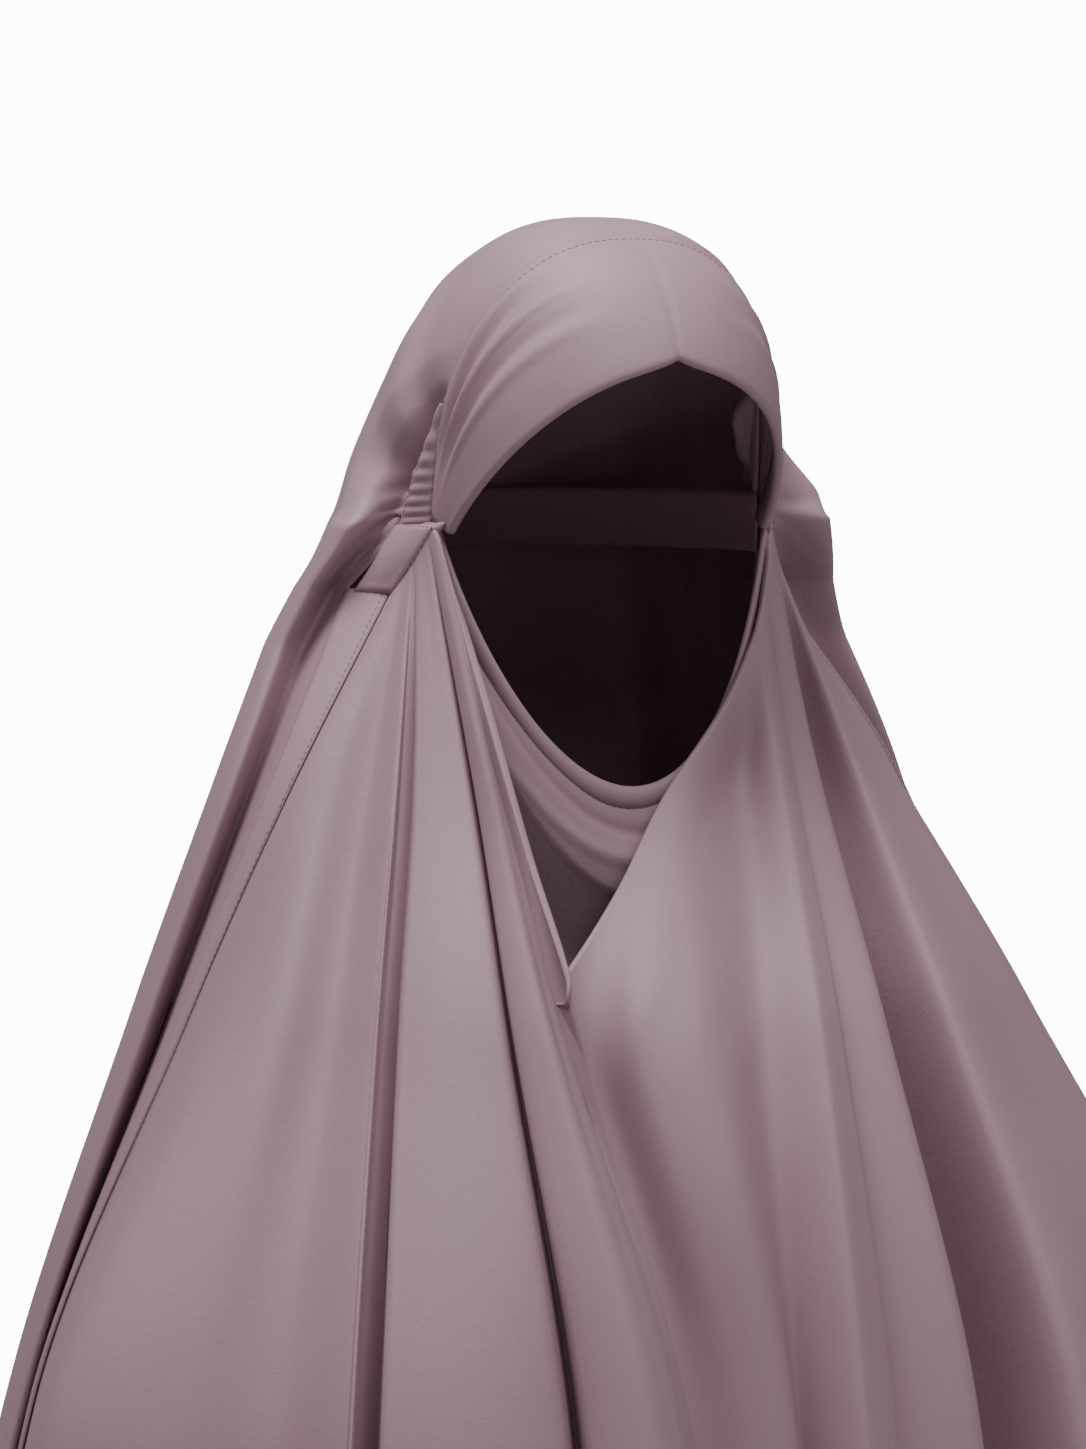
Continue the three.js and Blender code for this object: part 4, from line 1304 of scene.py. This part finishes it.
@dataclass
class SideWelts(SubAssembly):
    """The flat welts down the side seams."""

    rows: int = 150
    columns: int = 9
    crown: float = 0.0013

    def grid(self, side: Side) -> ClothGrid:
        """Runs a welt down its seam."""
        front, back, _ = CUT.welt_edges(side, CUT.rows(self.rows))
        along = np.linspace(0, 1, self.columns)[None, :, None]
        first, final = (back, front) if side is Side.RIGHT else (front, back)
        points = first[:, None] + (final - first)[:, None] * along
        return ClothGrid(points - self.crown * np.sin(math.pi * along) * vector(0, 1, 0))

    def build(self, side: Side) -> ClothGrid:
        """Builds and dresses a welt."""
        word = side.name.lower()
        return self.dress(
            self.grid(side), f"side_welt_{word}_cloth", [f"side_welt_{word}"], (0.01, 0.72), "stretched",
            ["veil", "front_drape"], 0.0042,
        )


@dataclass
class NapeTie(SubAssembly):
    """The hidden strap round the back of the head."""

    rows: int = 9
    columns: int = 120
    strap_crown: float = 0.0006

    def build(self) -> ClothGrid:
        """Builds and dresses the strap."""
        inset = CUT.wall + CUT.seam_gap
        angle = np.radians(np.linspace(-CUT.tie_lap, 180 + CUT.tie_lap, self.columns))[None, :]
        across = np.linspace(0.5, -0.5, self.rows)[:, None]
        crown = self.strap_crown * np.cos(math.pi * across)
        forward = CUT.temple_forward * np.abs(np.cos(angle))
        points = np.stack([
            -(CUT.head_half_width - inset + crown) * np.cos(angle),
            (CUT.head_half_depth - inset + crown) * np.sin(angle) - forward,
            -CUT.temple_drop + CUT.tie_width * across + 0 * angle,
        ], axis=-1)
        grid = ClothGrid(points, facing_back=True)
        return self.dress(
            grid, "nape_tie_strap", ["nape_tie"], (0.29, 0.025), "stretched", ["gather_casing_right"],
        )


@dataclass
class Stitching:
    """Rows of machine stitches, set out along lines on the cloth by Geometry Nodes."""

    thread: bpy.types.Material
    pitch: float = 0.0030
    length: float = 0.0021
    radius: float = 0.00022
    lift: float = 0.00055
    unevenness: float = 0.12
    seed: int = 7
    lines: list[np.ndarray] = field(default_factory=list)

    def follow(
        self, grid: ClothGrid, row: Optional[int] = None, column: Optional[int] = None,
        part: slice = slice(None),
    ) -> None:
        """Keeps a row or a column of a grid as a line, lifted to the cloth's outer side.

        Args:
            grid: the cloth.
            row: the row's number, or None for a column.
            column: the column's number, where no row is given.
            part: the stretch of it that is sewn.
        """
        lifted = grid.points + grid.normals() * self.lift
        line = lifted[:, column] if row is None else lifted[row]
        self.lines.append(line[part])

    def tree(self) -> bpy.types.NodeTree:
        """Builds the node tree that lays a stitch at each pitch of a line."""
        tree = bpy.data.node_groups.new("stitch_rows", "GeometryNodeTree")
        tree.interface.new_socket("Lines", in_out="INPUT", socket_type="NodeSocketGeometry")
        for name in ("Pitch", "Length", "Radius", "Unevenness"):
            tree.interface.new_socket(name, in_out="INPUT", socket_type="NodeSocketFloat")
        tree.interface.new_socket("Seed", in_out="INPUT", socket_type="NodeSocketInt")
        tree.interface.new_socket("Thread", in_out="INPUT", socket_type="NodeSocketMaterial")
        tree.interface.new_socket("Stitches", in_out="OUTPUT", socket_type="NodeSocketGeometry")
        given = add_node(tree, "NodeGroupInput")
        curve = add_node(tree, "GeometryNodeMeshToCurve", {"Mesh": given.outputs["Lines"]})
        spaced = add_node(tree, "GeometryNodeResampleCurve", {
            "Curve": curve.outputs["Curve"], "Length": given.outputs["Pitch"],
        }, mode="LENGTH")
        bead = add_node(tree, "GeometryNodeMeshUVSphere", {"Segments": 6, "Rings": 5, "Radius": 1})
        half = add_node(tree, "ShaderNodeMath", {0: given.outputs["Length"], 1: 0.5}, operation="MULTIPLY")
        size = add_node(tree, "ShaderNodeCombineXYZ", {
            "X": given.outputs["Radius"], "Y": given.outputs["Radius"], "Z": half.outputs["Value"],
        })
        stitch = add_node(tree, "GeometryNodeTransform", {
            "Geometry": bead.outputs["Mesh"], "Scale": size.outputs["Vector"],
        })
        tangent = add_node(tree, "GeometryNodeInputTangent")
        turn = add_node(tree, "FunctionNodeAlignRotationToVector", {
            "Vector": tangent.outputs["Tangent"],
        }, axis="Z")
        least, most = (
            add_node(tree, "ShaderNodeMath", {0: 1, 1: given.outputs["Unevenness"]}, operation=operation)
            for operation in ("SUBTRACT", "ADD")
        )
        uneven = add_node(tree, "FunctionNodeRandomValue", {
            "Min": least.outputs["Value"], "Max": most.outputs["Value"], "Seed": given.outputs["Seed"],
        }, data_type="FLOAT")
        laid = add_node(tree, "GeometryNodeInstanceOnPoints", {
            "Points": spaced.outputs["Curve"], "Instance": stitch.outputs["Geometry"],
            "Rotation": turn.outputs["Rotation"], "Scale": uneven.outputs["Value"],
        })
        real = add_node(tree, "GeometryNodeRealizeInstances", {"Geometry": laid.outputs["Instances"]})
        finish = add_node(tree, "GeometryNodeSetMaterial", {
            "Geometry": real.outputs["Geometry"], "Material": given.outputs["Thread"],
        })
        add_node(tree, "NodeGroupOutput", {"Stitches": finish.outputs["Geometry"]})
        return tree

    def build(self, name: str) -> bpy.types.Object:
        """Makes all kept lines one plain mesh of stitches.

        Args:
            name: the piece's name.

        Returns:
            The stitches, riding on the body.
        """
        points: list[list[float]] = []
        edges: list[tuple[int, int]] = []
        for line in self.lines:
            first = len(points)
            points.extend(line.tolist())
            edges.extend((first + i, first + i + 1) for i in range(len(line) - 1))
        guide = bpy.data.meshes.new(name + "_lines")
        guide.from_pydata(points, edges, [])
        carrier = add_object(name + "_lines", guide)
        rows = carrier.modifiers.new("stitches", "NODES")
        rows.node_group = self.tree()
        settings = {
            "Pitch": self.pitch, "Length": self.length, "Radius": self.radius,
            "Unevenness": self.unevenness, "Seed": self.seed, "Thread": self.thread,
        }
        for socket in rows.node_group.interface.items_tree:
            if socket.in_out == "INPUT" and socket.name in settings:
                rows[socket.identifier] = settings[socket.name]
        graph = bpy.context.evaluated_depsgraph_get()
        plain = bpy.data.meshes.new_from_object(carrier.evaluated_get(graph))
        plain.name = name
        bpy.data.objects.remove(carrier)
        piece = add_object(name, plain)
        plain.polygons.foreach_set("use_smooth", [True] * len(plain.polygons))
        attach(piece, BODY)
        LOG.info("%s: %d faces on %d lines", name, len(plain.polygons), len(self.lines))
        return piece


@dataclass(frozen=True)
class Lamp:
    """A soft square light: its name, where it hangs, the side of its square and its power in watts."""

    name: str
    place: tuple[float, float, float]
    size: float
    watts: float


@dataclass
class Studio:
    """A pale floor, a white surround, soft lights and the camera."""

    azimuth: float = -25.0
    elevation: float = 4.0
    distance: float = 2.3
    target_right: float = -0.0168
    target_height: float = -0.209
    scale_px_per_m: float = 2400.0
    image_height: int = 1449
    sensor: float = 36.0
    floor_radius: float = 1.15
    floor_drop: float = 0.83
    floor_steps: int = 96
    backdrop: float = 13.0
    ambient: float = 0.15
    lamp_aim: float = -0.3
    lamps: tuple[Lamp, ...] = (
        Lamp("key", (0.3, -1.5, 1.45), 0.9, 20),
        Lamp("top", (-0.55, -0.1, 1.7), 1.1, 52),
    )

    def camera(self) -> None:
        """Sets the camera at the photograph's angle."""
        turn, tip = math.radians(self.azimuth), math.radians(self.elevation)
        back = Vector((math.sin(turn) * math.cos(tip), -math.cos(turn) * math.cos(tip), math.sin(tip)))
        right = Vector((math.cos(turn), math.sin(turn), 0))
        target = right * self.target_right + Vector((0, 0, self.target_height))
        data = bpy.data.cameras.new("camera")
        data.sensor_width = self.sensor
        data.lens = self.scale_px_per_m * self.distance * self.sensor / self.image_height
        view = add_object("camera", data)
        view.location = target + back * self.distance
        view.rotation_euler = back.to_track_quat("Z", "Y").to_euler()
        bpy.context.scene.camera = view

    def light(self, lamp: Lamp) -> None:
        """Hangs a light that faces the middle of the veil."""
        data = bpy.data.lights.new(lamp.name, "AREA")
        data.size = lamp.size
        data.energy = lamp.watts
        thing = add_object(lamp.name, data)
        thing.location = lamp.place
        aim = Vector(lamp.place) - Vector((0, 0, self.lamp_aim))
        thing.rotation_euler = aim.to_track_quat("Z", "Y").to_euler()

    def surround(self) -> None:
        """Makes the bright backdrop, and a dimmer even light from all round."""
        white = (1, 1, 1, 1)
        world = bpy.data.worlds.new("studio")
        world.use_nodes = True
        tree = world.node_tree
        even = tree.nodes["Background"]
        even.inputs["Color"].default_value = white
        even.inputs["Strength"].default_value = self.ambient
        seen = add_node(tree, "ShaderNodeBackground", {"Color": white, "Strength": self.backdrop})
        path = add_node(tree, "ShaderNodeLightPath")
        either = add_node(tree, "ShaderNodeMixShader", {
            "Fac": path.outputs["Is Camera Ray"],
            1: even.outputs["Background"],
            2: seen.outputs["Background"],
        })
        tree.links.new(either.outputs["Shader"], tree.nodes["World Output"].inputs["Surface"])
        bpy.context.scene.world = world

    def floor(self) -> None:
        """Lays the floor disc."""
        turns = [2 * math.pi * k / self.floor_steps for k in range(self.floor_steps)]
        ring = [
            (self.floor_radius * math.cos(turn), self.floor_radius * math.sin(turn), -self.floor_drop)
            for turn in turns
        ]
        data = bpy.data.meshes.new("studio_floor")
        data.from_pydata(ring, [], [list(range(self.floor_steps))])
        data.materials.append(FloorFinish().material())
        add_object("studio_floor", data)

    def build(self) -> None:
        """Builds the whole studio."""
        self.surround()
        self.floor()
        for lamp in self.lamps:
            self.light(lamp)
        self.camera()


def stitch(pieces: dict[str, ClothGrid], thread: bpy.types.Material) -> None:
    """Sews the seams, the casings, the patches and the hems.

    Args:
        pieces: the dressed pieces' grids by name.
        thread: the thread's material.
    """
    sewing = Stitching(thread)
    sewing.follow(pieces["brow"], row=9)
    sewing.follow(pieces["binding"], row=13)
    inset = 3
    inner = slice(inset, -inset)
    for side in ("right", "left"):
        sewing.follow(pieces[f"casing {side}"], column=1 if side == "right" else -2)
        sewing.follow(pieces[f"welt {side}"], column=-2 if side == "right" else 1)
        for place in (inset, -inset - 1):
            sewing.follow(pieces[f"patch {side}"], row=place, part=inner)
        for place in (inset, -inset - 1):
            sewing.follow(pieces[f"patch {side}"], column=place, part=inner)
    for name in ("drape", "veil"):
        sewing.follow(pieces[name], row=-10)
    sewing.build("seam_stitches")


def main() -> None:
    """Builds every sub-assembly in order."""
    logging.basicConfig(level=logging.INFO, format="%(name)s: %(message)s")
    outer = ClothFinish("mauve_crepe", (0.372, 0.232, 0.287)).material()
    # A darker copy of the crepe for the chin panel and the nape strap: its darker colour is painted shade
    # under the chin, while its higher roughness is the matte inner face of the cloth.
    inner = ClothFinish("mauve_crepe_inside_painted_shade", (0.333, 0.203, 0.25), roughness=0.66, sheen=0.15).material()
    pieces: dict[str, ClothGrid] = {}
    pieces["drape"] = FrontDrape(outer).build()
    pieces["veil"] = OuterVeil(outer).build()
    pieces["brow"] = BrowBand(outer).build()
    pieces["panel"], pieces["binding"] = ChinPanel(inner, "panel_cloth").build(outer)
    for side in Side:
        word = side.name.lower()
        pieces[f"casing {word}"], pieces[f"patch {word}"] = TempleTrim(outer).build(side)
        pieces[f"welt {word}"] = SideWelts(outer).build(side)
    pieces["tie"] = NapeTie(inner, "panel_cloth").build()
    stitch(pieces, ThreadFinish().material())
    Studio().build()


if __name__ == "__main__":
    main()
